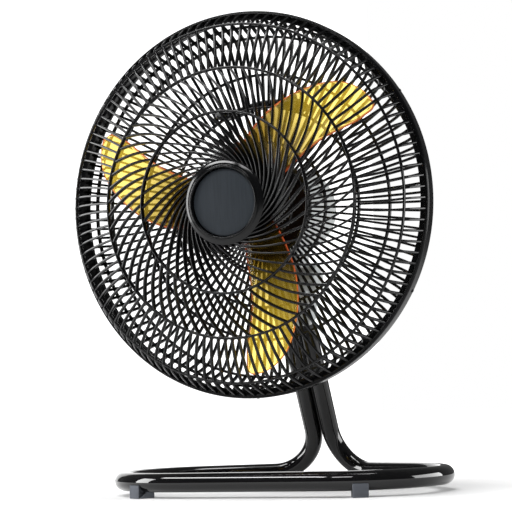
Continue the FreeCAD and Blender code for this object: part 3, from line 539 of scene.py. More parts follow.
def grained(name, gloss, scale, height):
    """New material whose roughness, and normal where the grain has a height, come from the moulded grain."""
    material = bpy.data.materials.new(name)
    material.use_nodes = True
    tree = material.node_tree
    tree.nodes.clear()
    shader = add(tree, "ShaderNodeBsdfPrincipled")
    add(tree, "ShaderNodeOutputMaterial", Surface=shader.outputs[0])
    grain = add(tree, "ShaderNodeGroup", {"node_tree": moulded_grain()}, Grain_Scale=scale,
                Grain_Height=height, Gloss_Low=gloss[0], Gloss_High=gloss[1]).outputs
    tree.links.new(grain["Roughness"], shader.inputs["Roughness"])
    if height:
        tree.links.new(grain["Normal"], shader.inputs["Normal"])
    return material, tree, shader.inputs, grain["Blotch"]


def shaded(base, change):
    """A colour made lighter or darker."""
    return tuple(min(1.0, part * change) for part in base[:3]) + (1.0,)


def tinted(tree, inputs, base, blotch, change, dust):
    """Base colour that drifts towards a second shade with the grain's blotches, under a film of dust."""
    drift = blend(tree, blotch, tuple(base), shaded(base, change))
    film = add(tree, "ShaderNodeGroup", {"node_tree": dust_film()}, Base=drift, Amount=dust)
    tree.links.new(film.outputs["Color"], inputs["Base Color"])


def plastic(name, base, gloss, scale, height, change=1.5, dust=0.06, specular=0.4):
    """Moulded plastic with a fine skin."""
    if name in bpy.data.materials:
        return bpy.data.materials[name]
    material, tree, inputs, blotch = grained(name, gloss, scale, height)
    tinted(tree, inputs, base, blotch, change, dust)
    inputs["Specular IOR Level"].default_value = specular
    return material


def guard_plastic():
    return plastic("Guard Black Plastic", colours().guard_black, gloss=(0.1, 0.17), scale=700.0, height=0.02,
                   change=1.8, dust=0.008, specular=0.3)


def hoop_plastic():
    return plastic("Hoop Black Plastic", colours().guard_black, gloss=(0.12, 0.2), scale=900.0, height=0.02,
                   change=1.8, dust=0.008, specular=0.12)


def cover_plastic():
    return plastic("Cover Grey Plastic", colours().cover_grey, gloss=(0.36, 0.48), scale=1100.0, height=0.09,
                   change=0.93, dust=0.1)


def knob_plastic():
    return plastic("Knob Black Plastic", colours().guard_black, gloss=(0.36, 0.5), scale=900.0, height=0.12,
                   change=1.9, dust=0.05)


def capacitor_plastic():
    return plastic("Capacitor Plastic", (0.7, 0.68, 0.62, 1.0), gloss=(0.4, 0.5), scale=900.0, height=0.05)


def foot_rubber():
    return plastic("Foot Rubber", colours().foot_grey, gloss=(0.62, 0.8), scale=1500.0, height=0.22,
                   change=1.35, dust=0.12, specular=0.3)


def metal(name, base, gloss):
    """Plated or cast metal with a drifting gloss."""
    if name in bpy.data.materials:
        return bpy.data.materials[name]
    material, tree, inputs, blotch = grained(name, gloss, scale=1200.0, height=0.08)
    tinted(tree, inputs, base, blotch, change=0.8, dust=0.0)
    inputs["Metallic"].default_value = 1.0
    return material


def badge_plastic():
    """Slate plate with fine upright brush lines: a noise stretched along the height."""
    material, tree, inputs, _ = grained("Badge Slate Plastic", gloss=(0.4, 0.5), scale=1400.0, height=0.05)
    place = add(tree, "ShaderNodeTexCoord")
    upright_lines = add(tree, "ShaderNodeMapping", Vector=place.outputs["Object"], Scale=(420.0, 420.0, 9.0))
    brush = add(tree, "ShaderNodeTexNoise", Vector=upright_lines.outputs[0], Scale=1.0, Detail=4.0)
    slate = colours().badge_slate
    dark, light = shaded(slate, change=0.88), shaded(slate, change=1.1)
    streaks = spread(tree, brush.outputs["Fac"], low=0.32, high=0.68)
    tree.links.new(blend(tree, streaks, dark, light), inputs["Base Color"])
    inputs["Specular IOR Level"].default_value = 0.18
    return material


def amber_plastic():
    """Clear amber plastic, with painted shade towards the root and the round edge, and a painted red-orange glow
    along the edges, both from attributes on the mesh.
    A faint gold emission is painted glow that stands in for light running inside the sheet."""
    material, tree, inputs, blotch = grained("Amber Blade Plastic", gloss=(0.04, 0.08), scale=60.0,
                                             height=0.0)
    edge = add(tree, "ShaderNodeAttribute", {"attribute_name": "painted_edge_glow"}).outputs["Fac"]
    painted_shade = add(tree, "ShaderNodeAttribute", {"attribute_name": "painted_shade"}).outputs["Fac"]
    drift = add(tree, "ShaderNodeMath", {"operation": "MULTIPLY_ADD"}, i0=blotch, i1=0.3, i2=-0.15).outputs[0]
    # Share of painted shade: the shade mask with a little drift from the grain.
    depth = add(tree, "ShaderNodeMath", {"operation": "ADD", "use_clamp": True}, i0=painted_shade, i1=drift).outputs[0]
    c = colours()
    pairs = (("Base Color", c.amber, c.amber_painted_shade), ("Emission Color", c.glow, c.glow_painted_shade))
    # Base and emission colours each run from the lit amber to the painted shade, then to the painted red-orange
    # glow at the edges.
    for socket, thin, painted_shade_colour in pairs:
        sheet = blend(tree, depth, tuple(thin), tuple(painted_shade_colour))
        tree.links.new(blend(tree, edge, sheet, tuple(c.amber_painted_edge_glow)), inputs[socket])
    inputs["Transmission Weight"].default_value = 0.9
    inputs["IOR"].default_value = 1.4
    # A faint emission: painted gold glow, not a lamp.
    inputs["Emission Strength"].default_value = 0.2
    return material


def tube_paint():
    """Gloss paint over steel tube: a faint wave of the paint's flow, fine dust and a clear coat."""
    material, tree, inputs, blotch = grained("Tube Gloss Paint", gloss=(0.06, 0.12), scale=160.0,
                                             height=0.012)
    tinted(tree, inputs, colours().tube_black, blotch, change=1.6, dust=0.02)
    inputs["Specular IOR Level"].default_value = 0.12
    inputs["Coat Weight"].default_value = 0.85
    inputs["Coat Roughness"].default_value = 0.04
    return material


# Pieces

class FAN_OT_front_grille(bpy.types.Operator):
    """Front grille: spiral, slanted and nearly radial ribs on a dome, three bands, the hub and the rim."""
    bl_idname = "fan.front_grille"
    bl_label = "Front Grille"

    def execute(self, context):
        g = guard()
        bury, sink = 0.004, 0.0006
        outer_width_share, outer_depth_share = 1.12, 0.76
        radius, y = dome(16, g.hub_radius - bury, g.ring_one)
        angle = g.inner_start + g.inner_pull / g.ring_one - g.inner_pull / radius
        near_hub = np.clip((g.ring_one - radius) / (g.ring_one - g.hub_radius), 0, 1)
        fin = g.rib_depth + g.fin_depth * near_hub ** 1.5
        shells = [ribs(g.inner_ribs, radius, y + sink, angle, g.rib_width, fin)]
        radius, y = dome(12, g.ring_one, g.ring_two)
        angle = g.middle_start + g.middle_sweep * (radius - g.ring_one) / (g.ring_two - g.ring_one)
        shells.append(ribs(g.middle_ribs, radius, y + sink, angle, g.rib_width, g.rib_depth))
        radius, y = dome(14, g.ring_two, dome_end)
        angle = g.outer_start + g.outer_sweep * ((radius - g.ring_two) / (dome_end - g.ring_two)) ** 2
        shells.append(ribs(g.outer_ribs, radius, y + sink, angle, g.rib_width * outer_width_share,
                           g.rib_depth * outer_depth_share))
        for ring, lower, width, depth in ((g.ring_one, -0.0004, 0.0033, 0.0076),
                                          (g.ring_two, -0.0004, 0.0033, 0.0076),
                                          (shoulder_radius, 0.0004, 0.0032, 0.0056)):
            shells.append(band(ring, height_at(dome, ring) + lower, width, depth))
        shells.append(spun(rounded(front_rim, mould_round)))
        shells.append(spun(rounded(hub_section, hub_round, steps=5)))
        make_piece("front_grille_ribs", in_head(joined(shells)), "head", guard_plastic(),
                   ["front_grille"], crease=80)
        return {"FINISHED"}


class FAN_OT_badge(bpy.types.Operator):
    """Plain round plate in the hub: a disc crowned as 1 - t^2 with a soft edge."""
    bl_idname = "fan.badge"
    bl_label = "Badge"

    def execute(self, context):
        g = guard()
        gap, sink, crown, seat = 0.0008, 0.0002, 0.0005, -0.0590
        flat_end, edge_cut, edge_top, edge_low = 0.0014, 0.0004, 0.0003, 0.0010
        r = g.badge_radius - gap
        face = -g.hub_reach + sink
        t = np.linspace(0, 1, 12)
        top = np.stack([t * (r - flat_end), face - crown * (1 - t ** 2)], axis=-1)
        edge = [(r - edge_cut, face + edge_top), (r, face + edge_low), (r, seat), (0, seat)]
        plate = in_head(disc(np.vstack([top, edge])))
        make_piece("hub_badge", plate, "head", badge_plastic(), ["front_badge"])
        return {"FINISHED"}


class FAN_OT_guard_ring(bpy.types.Operator):
    """Hoop that clasps the grilles: an angle section with soft edges and a back bead. Also its clips."""
    bl_idname = "fan.guard_ring"
    bl_label = "Guard Ring"

    def execute(self, context):
        g = guard()
        front, soft, clip_count = -0.0062, 0.0012, 6
        back = g.ring_width + front
        r = g.ring_radius
        section = [(r - 0.0030, front), (r - 0.0018, front), (r, front + 0.0028), (r, back - 0.0010),
                   (r - 0.0008, back), (r - 0.0020, back), (r - 0.0026, back - 0.0020),
                   (r - 0.0021, back - 0.0040), (r - 0.0020, front + 0.0018)]
        hoop = in_head(spun(rounded(section, soft), steps=240))
        make_piece("guard_hoop", hoop, "head", hoop_plastic(), ["guard_ring"])
        starts = even_angles(clip_count, math.pi / clip_count)
        clips = in_head(around(self.clip(r), starts))
        make_piece("hoop_clips", clips, "head", guard_plastic(), ["guard_clips"])
        blackened = metal("Blackened Steel", (0.02, 0.02, 0.022, 1.0), gloss=(0.3, 0.4))
        screws = in_head(around(self.screw(r), starts))
        make_piece("hoop_clip_screws", screws, "head", blackened, ["guard_clip_screws"])
        return {"FINISHED"}

    def clip(self, ring_radius):
        """Block inside the hoop behind the rear rim: a rounded section carried a short way round."""
        inner_gap, outer_gap, front, back, soft = 0.0042, 0.0022, 0.0068, 0.0148, 0.0005
        half_degrees = 4.5
        low, high = ring_radius - inner_gap, ring_radius - outer_gap
        section = rounded([(low, front), (high, front), (high, back), (low, back)], soft)
        angle = np.radians(np.linspace(-half_degrees, half_degrees, 10))[:, None]
        return skin(polar(section[None, :, 0], angle, section[None, :, 1]))

    def screw(self, ring_radius):
        """Pan head outside the hoop: a quarter ellipse turned about a line out from the fan axis."""
        radius, rise, sink, place = 0.0026, 0.0013, 0.0006, 0.0108
        t = np.linspace(0, 1, 6)
        line = np.stack([radius * np.sin(t * math.pi / 2), -rise * np.cos(t * math.pi / 2)], axis=-1)
        points, faces = disc(np.vstack([line, [(radius, sink), (0, sink)]]), steps=24)
        return np.stack([ring_radius - points[:, 1], points[:, 0] + place, points[:, 2]], axis=-1), faces


class FAN_OT_rear_grille(bpy.types.Operator):
    """Rear grille: radial ribs on a bowl, five bands, a stepped plate, the rim and two handle pads."""
    bl_idname = "fan.rear_grille"
    bl_label = "Rear Grille"

    def execute(self, context):
        g = guard()
        bury, rib_depth = 0.002, 0.0050
        band_lift, band_width, band_depth = 0.0062, 0.0036, 0.0064
        shells = []
        for count, first, last, steps in ((g.rear_inner_ribs, g.plate_radius - bury, rear_split, 6),
                                          (g.rear_outer_ribs, rear_split, bowl_end, 14)):
            radius, y = bowl(steps, first, last)
            shells.append(ribs(count, radius[::-1], y[::-1], np.zeros(steps), g.rear_rib, rib_depth))
        for ring in rear_bands:
            shells.append(band(ring, height_at(bowl, ring) - band_lift, band_width, band_depth))
        edge, bore, back, face = g.plate_radius, 0.01425, 0.0740, 0.0702
        plate = [(bore, face), (bore, back), (0.0600, back), (edge + 0.001, back), (edge + 0.001, 0.0690),
                 (edge - 0.003, 0.0676), (edge - 0.005, face), (0.0420, face), (0.0400, 0.0686),
                 (0.0380, 0.0686), (0.0360, face)]
        shells += [spun(rounded(section, mould_round)) for section in (plate, rear_rim)]
        points, faces = disc(handle_pad, steps=32)
        for side in (-1, 1):
            angle = math.pi / 2 + side * g.handle_turn
            shells.append((points + polar(g.handle_radius, angle, 0.0), faces))
        make_piece("rear_grille_ribs", in_head(joined(shells)), "head", guard_plastic(),
                   ["rear_grille"], crease=80)
        return {"FINISHED"}


class FAN_OT_handle(bpy.types.Operator):
    """Carry handle: an oval bar that rises from the grille, bends and follows a bow about the fan axis."""
    bl_idname = "fan.handle"
    bl_label = "Carry Handle"

    def execute(self, context):
        g = guard()
        seat, low, high, grip = 0.0719, 0.0860, 0.0965, 0.1048
        end, bend, ease = g.handle_turn, 0.10, 0.012
        half_height, half_depth, swell_share = 0.0060, 0.0061, 0.12
        keys = [(-end, seat), (-end, low), (-end + ease, high)]
        keys += [(t, grip) for t in np.linspace(-end + bend, end - bend, 9)]
        keys += [(end - ease, high), (end, low), (end, seat)]
        line = smooth_curve(np.array(keys) * [g.handle_radius, 1], 90)
        angle = math.pi / 2 + line[:, 0] / g.handle_radius
        path = polar(g.handle_radius, angle, line[:, 1])
        away = polar(1.0, angle, 0.0)
        side = unit(np.cross(unit(np.gradient(path, axis=0)), away))
        shape = oval(points=24, power=3.0)
        swell = 1 + swell_share * np.cos(line[:, 0] / line[-1, 0] * math.pi / 2)
        grid = path[:, None] + away[:, None] * shape[None, :, 0:1] * half_height
        grid = grid + side[:, None] * shape[None, :, 1:2] * (half_depth * swell)[:, None, None]
        bow = in_head(skin(grid))
        make_piece("handle_bow", bow, "head", knob_plastic(), ["carry_handle"])
        return {"FINISHED"}


class FAN_OT_propeller(bpy.types.Operator):
    """Propeller: thin cambered blades with a large round at the trailing tip corner, on a cup-shaped hub."""
    bl_idname = "fan.propeller"
    bl_label = "Propeller"

    def execute(self, context):
        p = context.scene.fan_propeller
        # The blade comes with two masks of painted light: the painted red-orange glow along the edges and the
        # painted shade towards the root.
        blade, glow, painted_shade = self.blade(p)
        blades = around(blade, p.start + even_angles(p.blades))
        cup = self.cup(p.hub_radius)
        piece = make_piece("propeller_blades", in_head(joined([blades, cup])), "rotor",
                           amber_plastic(), ["propeller"])
        # The hub cup gets a little of the painted edge glow and much of the painted shade.
        for name, on_blade, on_cup in (("painted_edge_glow", glow, 0.15), ("painted_shade", painted_shade, 0.9)):
            layer = piece.data.attributes.new(name, "FLOAT", "POINT")
            mask = np.concatenate([np.tile(on_blade, p.blades), np.full(len(cup[0]), on_cup)])
            layer.data.foreach_set("value", mask.astype(np.float32))
        return {"FINISHED"}

    def cup(self, radius):
        """Hub open to the back, with a sleeve on the shaft."""
        front, skirt, sleeve_end = -0.030, 0.016, 0.024
        bore, sleeve, sleeve_foot, wall = 0.00405, 0.009, 0.011, 0.003
        slope, floor_edge, floor_middle, soft = 0.004, 0.005, 0.003, 0.0016
        section = [(bore, front), (radius - slope, front), (radius, front + slope), (radius, skirt),
                   (radius - wall, skirt), (radius - wall, front + floor_edge),
                   (sleeve_foot, front + floor_middle), (sleeve, front + floor_edge), (sleeve, sleeve_end),
                   (bore, sleeve_end)]
        return spun(rounded(section, soft), steps=96)

    def blade(self, p):
        """Rows at a fixed radius r, columns across u from the hollow edge to the round one. The hollow edge
        is a straight line with a bump sin^1.5, and a quarter circle at the tip. The round edge swings back
        evenly with r, with a square added near the root, and closes at the tip as a cubic superellipse.
        Depth = reach + (u - 1/2) drop + 4 camber u (1 - u), with a lip rolled up at the round edge, and half
        the thickness to each side. Also gives the masks of painted light: a painted glow along the edges,
        and painted shade towards the root and the round edge."""
        rows, columns = 64, 40
        root, tip, bump_end, closing_start, sweep_place = 0.0325, p.tip_radius, 0.195, 0.19, 0.1
        tip_gap, least_width, least_thickness_share = 0.0002, 0.0004, 0.04
        sweep_degrees, swing_back, root_square = 45.6, 277, 3000
        drop_radii, drops = (0.034, 0.11, 0.17, tip), (0.02, 0.013, 0.007, 0.003)
        lip_rise, lip_width = 0.002, 0.004
        # Painted glow along the edges: full to about 0.8 mm in from an edge, gone at about 3.4 mm.
        painted_edge_glow, painted_glow_width = 1.3, 0.0026
        # Painted shade: full at the root, gone about three quarters of the way to the tip, with more towards the
        # round edge.
        root_painted_shade, painted_shade_fall, round_edge_painted_shade = 1.45, 1.95, 0.3
        r = root + (tip - tip_gap - root) * np.sin(np.linspace(0, math.pi / 2, rows))
        bump = np.clip((r - root) / (bump_end - root), 0, 1) ** 1.3
        low = np.abs(np.sin(math.pi * bump)) ** 1.5 * p.hollow - p.thickness / 2
        past = np.clip((r - tip + p.corner) / p.corner, 0, 1)
        low = np.arcsin(low / r) + p.corner * (1 - np.sqrt(1 - past ** 2)) / r
        closing = np.clip((r - closing_start) / (tip - closing_start), 0, 1)
        sweep = sweep_degrees - swing_back * (r - sweep_place)
        sweep = sweep + root_square * np.clip(sweep_place - r, 0, 1) ** 2
        high = np.radians(sweep) * (1 - closing ** 3) ** (1 / 3)
        high = np.maximum(high, low + least_width / r)
        u = (1 - np.cos(np.linspace(0, math.pi, columns))) / 2
        beta = low[:, None] + (high - low)[:, None] * u
        width = ((high - low) * r)[:, None]
        drop = np.interp(r, drop_radii, drops)[:, None]
        lip = lip_rise * np.exp(-(((1 - u) * width / lip_width) ** 2))
        depth = -p.reach - (u - 0.5) * drop - 4 * p.camber * u * (1 - u) - lip
        near = np.minimum(np.minimum(u, 1 - u) * width, (tip - r)[:, None])
        half = p.thickness / 2 * np.sqrt(np.clip(near / p.thickness, least_thickness_share, 1))
        front = polar(r[:, None], beta, depth - half)
        back = polar(r[:, None], beta, depth + half)
        # Mask of the painted edge glow.
        glow = np.clip(painted_edge_glow - near / painted_glow_width, 0, 1)
        fall = painted_shade_fall * (r[:, None] - root) / (tip - root)
        painted_shade = np.clip(root_painted_shade - fall + round_edge_painted_shade * u ** 3, 0, 1)
        grid, glow, painted_shade = (np.concatenate([first, last[:, ::-1]], axis=1)
                            for first, last in ((front, back), (glow, glow), (painted_shade, painted_shade)))
        return skin(grid), glow.ravel(), painted_shade.ravel()


def stand_line():
    """Middle line of the tube: uprights, bend, floor run, corner and front bar, in straight runs and arcs.
    Also gives the two ends of the right floor run, its heading, and the middle of the right corner's bend."""
    s = stand()
    lift = s.tube_radius + s.foot_lift
    up = upright()
    rise = (tilt_pivot[2] - lift) / math.cos(s.lean)
    foot = tilt_pivot + np.array([s.spacing / 2, 0, 0]) - up * rise
    centre = np.array([s.half_width - s.corner_radius, s.corner_radius - s.front_lead + fan_middle[1], lift])
    reach = centre - foot
    distance = np.linalg.norm(reach)
    heading = math.atan2(reach[1], reach[0]) + math.asin(s.corner_radius / distance)
    along = np.array([math.cos(heading), math.sin(heading), 0.0])
    tangent = foot + along * math.sqrt(distance ** 2 - s.corner_radius ** 2)
    bend = math.pi - math.acos(float(along @ up))
    cut_back = s.bend_radius * math.tan(bend / 2)
    bend_centre = foot + unit(along + up) * s.bend_radius / math.cos(bend / 2)

    def arc(hub, first, last, steps):
        """Points hub + (a sin((1 - t) w) + b sin(t w)) / sin w between two radii a and b."""
        a, b = first - hub, last - hub
        angle = math.acos(float(a @ b) / (np.linalg.norm(a) * np.linalg.norm(b)))
        t = np.linspace(0, 1, steps)[:, None]
        return hub + (a * np.sin((1 - t) * angle) + b * np.sin(t * angle)) / math.sin(angle)

    def run(first, last, steps):
        t = np.linspace(0, 1, steps)[1:-1, None]
        return first + (last - first) * t

    top = foot + up * (rise - s.tube_end)
    bend_start = foot + up * cut_back
    bend_end = foot + along * cut_back
    front = centre - np.array([0, s.corner_radius, 0])
    front_middle = front * [0, 1, 1]
    half = np.vstack([top[None], run(top, bend_start, 6), arc(bend_centre, bend_start, bend_end, 28),
                      run(bend_end, tangent, 8), arc(centre, tangent, front, 34),
                      run(front, front_middle, 6)])
    line = np.vstack([half, front_middle[None], half[::-1] * [-1, 1, 1]])
    return line, bend_end, tangent, heading, centre[:2]


class FAN_OT_stand_tube(bpy.types.Operator):
    """Stand: one round tube along the uprights, the V-shaped floor loop and the front bar."""
    bl_idname = "fan.stand_tube"
    bl_label = "Stand Tube"

    def execute(self, context):
        pipe = tube(stand_line()[0], stand().tube_radius, sides=48)
        make_piece("stand_pipe", pipe, "stand", tube_paint(), ["stand_tube"], crease=60)
        return {"FINISHED"}


class FAN_OT_feet(bpy.types.Operator):
    """Feet: rubber saddles under the tube, a rounded outline carried a short way along it with soft ends."""
    bl_idname = "fan.feet"
    bl_label = "Feet"

    def execute(self, context):
        for name in ("foot_front_left", "foot_front_right", "foot_rear_left", "foot_rear_right"):
            pad = self.pad(stand(), *self.place(stand(), name))
            make_piece(name + "_pad", pad, "stand", foot_rubber(), [name], crease=50)
        return {"FINISHED"}

    def place(self, s, name):
        """Spot under the tube and the way that the tube runs there."""
        _, bend_end, tangent, angle, hub = stand_line()
        rear_share = 0.6
        spot = (bend_end + (tangent - bend_end) * rear_share)[:2]
        if "front" in name:
            angle = math.asin((s.foot_place - hub[0]) / s.corner_radius)
            spot = hub + s.corner_radius * np.array([math.sin(angle), -math.cos(angle)])
        return (spot * [-1, 1], -angle) if "left" in name else (spot, angle)

    def pad(self, s, spot, angle):
        """Block with a groove of the tube's radius, its ends drawn in about the middle of the section."""
        top, half, foot_half, flat, gap = 0.0176, 0.0134, 0.0135, 0.0128, 0.0001
        soft, chamfer, middle_height = 0.0006, 0.0002, 0.006
        lift = s.tube_radius + s.foot_lift
        groove = s.tube_radius + gap
        edge = math.acos((lift - top) / groove)
        sweep = np.linspace(edge, -edge, 17)
        saddle = np.stack([groove * np.sin(sweep), lift - groove * np.cos(sweep)], axis=-1)
        block = rounded([(half, top), (flat, top), (-flat, top), (-half, top), (-foot_half, chamfer),
                         (-flat, 0.0), (flat, 0.0), (foot_half, chamfer)], soft, steps=2)
        lower = block[block[:, 1] < top - chamfer]
        outline = np.vstack([lower, saddle])
        centre = np.array([0, middle_height])
        steps = np.array([-0.0100, -0.0097, -0.0090, 0.0090, 0.0097, 0.0100])
        inset_shares = np.array([0.93, 0.975, 1.0, 1.0, 0.975, 0.93])
        shape = centre + (outline[None] - centre) * inset_shares[:, None, None]
        in_groove = np.arange(len(outline))[None, :, None] >= len(lower)
        shape = np.where(in_groove, outline[None], shape)
        along = np.broadcast_to(steps[:, None], shape.shape[:2])
        cosine, sine = math.cos(angle), math.sin(angle)
        x = spot[0] + along * cosine - shape[..., 0] * sine
        y = spot[1] + along * sine + shape[..., 0] * cosine
        return skin(np.stack([x, y, np.maximum(shape[..., 1], 0)], axis=-1))


class FAN_OT_bracket(bpy.types.Operator):
    """Clamp on the tops of the uprights: rounded sections that narrow downwards, and two ears."""
    bl_idname = "fan.bracket"
    bl_label = "Tilt Bracket"

    def execute(self, context):
        heights, half_widths, half_depths = (clamp_sections[:, k:k + 1] for k in range(3))
        shape = oval(points=48, power=7.0)
        x = half_widths * shape[None, :, 0]
        clamp = np.stack([x, half_depths * shape[None, :, 1], np.broadcast_to(heights, x.shape)], axis=-1)
        radius, inner, outer, ear_foot, soft = 0.015, 0.0173, 0.0253, -0.030, 0.0005
        angle = np.linspace(0, math.pi, 25)
        top = np.stack([radius * np.cos(angle), radius * np.sin(angle)], axis=-1)
        outline = np.vstack([top, [(-radius, ear_foot), (radius, ear_foot)]])
        sides = np.array([inner, inner + soft, outer - soft, outer])
        outline_shares = np.array([0.97, 1.0, 1.0, 0.97])
        flat = outline[None] * outline_shares[:, None, None]
        ear = np.stack([np.broadcast_to(sides[:, None], flat.shape[:2]), flat[..., 0], flat[..., 1]], axis=-1)
        shells = [skin(clamp), skin(ear), skin(ear * [-1, 1, 1])]
        make_piece("bracket_clamp", at_pivot(joined(shells)), "stand", cover_plastic(),
                   ["tilt_bracket"])
        return {"FINISHED"}


class FAN_OT_tilt_knob(bpy.types.Operator):
    """Hand knob of the tilt bolt: an outline r = R - hollow cos(6 a)^2 where the cosine is positive, else R,
    carried along the bolt and running into a circle on its end face."""
    bl_idname = "fan.tilt_knob"
    bl_label = "Tilt Knob"

    def execute(self, context):
        knob_radius, hollow, grips = 0.0186, 0.0036, 6
        places, shares = knob_sections[:, 0:1], knob_sections[:, 1:2]
        angle = even_angles(96)
        radius = knob_radius - hollow * np.clip(np.cos(grips * angle), 0, 1) ** 2
        lobed = np.clip(shares * 2 - 0.9, 0, 1)
        reach = (radius[None] * lobed + knob_radius * (1 - lobed)) * shares
        along = np.broadcast_to(places, reach.shape)
        knob = skin(np.stack([along, reach * np.cos(angle), reach * np.sin(angle)], axis=-1))
        make_piece("tilt_hand_knob", at_pivot(knob), "tilt_knob", cover_plastic(),
                   ["tilt_knob"])
        return {"FINISHED"}


class FAN_OT_carried_nodes(bpy.types.Operator):
    """Finishes for the pieces that keep their built shape."""
    bl_idname = "fan.carried_nodes"
    bl_label = "Other Pieces"

    def execute(self, context):
        finishes = {
            "black_plastic": knob_plastic(),
            "grey_plastic": cover_plastic(),
            "foot_rubber": foot_rubber(),
            "capacitor_plastic": capacitor_plastic(),
            "cast_aluminium": metal("Cast Aluminium", (0.55, 0.55, 0.56, 1.0), gloss=(0.4, 0.55)),
            "lamination_steel": metal("Lamination Steel", (0.3, 0.3, 0.31, 1.0), gloss=(0.35, 0.5)),
            "winding_copper": metal("Winding Copper", (0.55, 0.22, 0.09, 1.0), gloss=(0.25, 0.4)),
            "bright_steel": metal("Plated Steel", colours().steel, gloss=(0.18, 0.32)),
        }
        for row in frame["record"]["subparts"]:
            node = frame["nodes"][row["node"]]
            if node.hide_render:
                continue
            node.data.materials.clear()
            node.data.materials.append(finishes[row["material_slot"]])
        return {"FINISHED"}


# Lamps as (name, place, point that it faces, width, height, power in watts)
softboxes = (
    ("Key Softbox", (-0.85, -1.25, 1.75), (0, -0.1, 0.2), 1.2, 0.3, 24.0),
    ("Overhead Softbox", (-0.1, -0.15, 2.2), (-0.1, -0.1, 0.3), 1.7, 0.45, 28.0),
    ("Right Softbox", (2.0, 0.85, 0.45), (0.2, 0, 0.1), 1.8, 0.85, 34.0),
    ("Front Softbox", (0.35, -2.1, 2.2), (0, 0, 0.3), 1.0, 0.45, 16.0),
    ("Left Softbox", (-1.56, -0.8, 0.6), (0, 0, 0.35), 0.6, 1.1, 24.0),
)


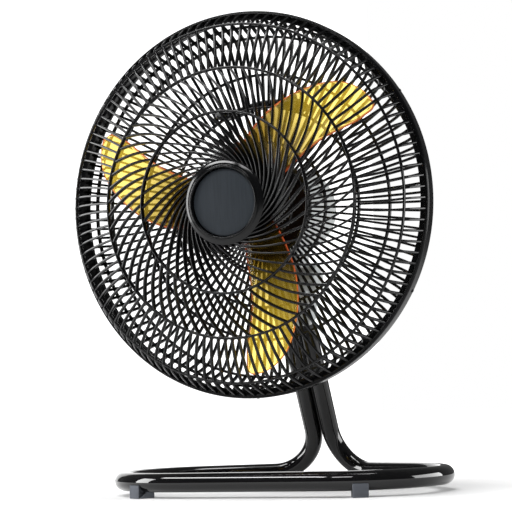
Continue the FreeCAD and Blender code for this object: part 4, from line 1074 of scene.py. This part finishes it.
class FAN_OT_stage(bpy.types.Operator):
    """Pale floor, a white card, soft lamps, a white surround and the camera."""
    bl_idname = "fan.stage"
    bl_label = "Stage"

    def execute(self, context):
        scene = context.scene
        scene.view_settings.view_transform = "Standard"
        self.camera(scene)
        self.world(scene)
        self.floor(scene)
        self.card(scene)
        for softbox in softboxes:
            self.lamp(scene, *softbox)
        return {"FINISHED"}

    def put(self, scene, name, data, place, axes):
        """New object at a place, its own x, y and z along the given axes."""
        thing = bpy.data.objects.new(name, data)
        matrix = Matrix.Identity(4)
        for column, values in enumerate((*axes, place)):
            for row in range(3):
                matrix[row][column] = values[row]
        thing.matrix_world = matrix
        scene.collection.objects.link(thing)
        return thing

    def camera(self, scene):
        """Looks along (sin yaw cos pitch, cos yaw cos pitch, sin pitch), then rolls about that line."""
        yaw, pitch, roll = (math.radians(a) for a in (-23.879, 6.054, -1.779))
        place = (0.78591, fan_middle[1] - 1.74096, 0.10964)
        level = math.cos(pitch)
        forward = np.array([math.sin(yaw) * level, math.cos(yaw) * level, math.sin(pitch)])
        right = np.array([math.cos(yaw), -math.sin(yaw), 0.0])
        up = np.cross(right, forward)
        across = right * math.cos(roll) + up * math.sin(roll)
        rise = -right * math.sin(roll) + up * math.cos(roll)
        data = bpy.data.cameras.new("Camera")
        data.lens = 102.93
        data.sensor_width = 36.0
        scene.camera = self.put(scene, "Camera", data, place, (across, rise, -forward))

    def lamp(self, scene, name, place, target, width, height, power):
        """Rectangle of soft light that faces its target."""
        nearly_up = [0.0, 0.001, 1.0]
        data = bpy.data.lights.new(name, "AREA")
        data.shape = "RECTANGLE"
        data.size = width
        data.size_y = height
        data.energy = power
        back = unit(np.array(place, float) - np.array(target, float))
        side = unit(np.cross(nearly_up, back))
        self.put(scene, name, data, place, (side, np.cross(back, side), back))

    def seen(self, tree, mirrored):
        """1 for the camera and for a look through clear plastic, a share of 1 in mirror images, else 0."""
        path = add(tree, "ShaderNodeLightPath").outputs
        direct = maths(tree, "MAXIMUM", path["Is Camera Ray"], path["Is Transmission Ray"])
        return maths(tree, "MAXIMUM", direct, maths(tree, "MULTIPLY", path["Is Glossy Ray"], mirrored))

    def world(self, scene):
        """Plain fill light, white where the camera or clear plastic looks out to it."""
        fill, mirrored = 0.1, 0.1
        world = bpy.data.worlds.new("White Surround")
        world.use_nodes = True
        tree = world.node_tree
        tree.nodes.clear()
        strength = maths(tree, "MAXIMUM", self.seen(tree, mirrored), fill)
        light = add(tree, "ShaderNodeBackground", Color=(1, 1, 1, 1), Strength=strength)
        add(tree, "ShaderNodeOutputWorld", Surface=light.outputs[0])
        scene.world = world

    def floor(self, scene):
        """Pale floor that keeps the shadows near the stand and turns white away from it."""
        size = 30.0
        corners = [(-size, -size, 0), (size, -size, 0), (size, size, 0), (-size, size, 0)]
        self.board(scene, "Floor", corners, self.pale("Floor", near=0.1, mirrored=0.1))

    def card(self, scene):
        """White board behind on the left, whose mirror image brightens the rims of the ribs on that side."""
        left, right, depth, height = -5.0, -0.9, 3.0, 2.6
        corners = [(left, depth, 0), (right, depth, 0), (right, depth, height), (left, depth, height)]
        self.board(scene, "Left Card", corners, self.pale("Left Card", near=1.0, mirrored=1.0))

    def board(self, scene, name, corners, finish):
        mesh = bpy.data.meshes.new(name)
        mesh.from_pydata(corners, [], [(0, 1, 2, 3)])
        mesh.materials.append(finish)
        plane = bpy.data.objects.new(name, mesh)
        scene.collection.objects.link(plane)

    def pale(self, name, near, mirrored):
        """Matt paint that is white for the camera, mirror images and clear plastic, more so further out."""
        shadow_radius, white_radius = 0.25, 0.75
        material = bpy.data.materials.new("Pale " + name)
        material.use_nodes = True
        tree = material.node_tree
        tree.nodes.clear()
        paint = add(tree, "ShaderNodeBsdfDiffuse", Color=(0.8, 0.8, 0.8, 1))
        place = add(tree, "ShaderNodeTexCoord")
        away = add(tree, "ShaderNodeVectorMath", {"operation": "LENGTH"}, i0=place.outputs["Object"])
        rise = spread(tree, away.outputs["Value"], low=shadow_radius, high=white_radius, first=near)
        strength = maths(tree, "MULTIPLY", self.seen(tree, mirrored), rise)
        glow = add(tree, "ShaderNodeEmission", Color=(1, 1, 1, 1), Strength=strength)
        both = add(tree, "ShaderNodeAddShader", i0=paint.outputs[0], i1=glow.outputs[0])
        add(tree, "ShaderNodeOutputMaterial", Surface=both.outputs[0])
        return material


class FAN_PT_panel(bpy.types.Panel):
    """Lists the pieces and their sizes."""
    bl_idname = "FAN_PT_panel"
    bl_label = "Floor Fan"
    bl_space_type = "VIEW_3D"
    bl_region_type = "UI"
    bl_category = "Floor Fan"

    def draw(self, context):
        for operator in operators:
            self.layout.operator(operator.bl_idname)
        for name, kind in groups.items():
            box = self.layout.box()
            for key in kind.__annotations__:
                box.prop(getattr(context.scene, name), key)


operators = (FAN_OT_stage, FAN_OT_front_grille, FAN_OT_badge, FAN_OT_guard_ring, FAN_OT_rear_grille,
             FAN_OT_handle, FAN_OT_propeller, FAN_OT_stand_tube, FAN_OT_feet, FAN_OT_bracket,
             FAN_OT_tilt_knob, FAN_OT_carried_nodes)
groups = {"fan_guard": FanGuardSizes, "fan_propeller": FanPropellerSizes, "fan_stand": FanStandSizes,
          "fan_colours": FanColours}


def register():
    for kind in (*groups.values(), *operators, FAN_PT_panel):
        bpy.utils.register_class(kind)
    for name, kind in groups.items():
        setattr(bpy.types.Scene, name, bpy.props.PointerProperty(type=kind))


def unregister():
    for name in groups:
        delattr(bpy.types.Scene, name)
    for kind in (FAN_PT_panel, *reversed(operators), *groups.values()):
        bpy.utils.unregister_class(kind)


def main():
    register()
    for operator in operators:
        call = operator.bl_idname.split(".")[1]
        getattr(bpy.ops.fan, call)()


if __name__ == "__main__":
    main()
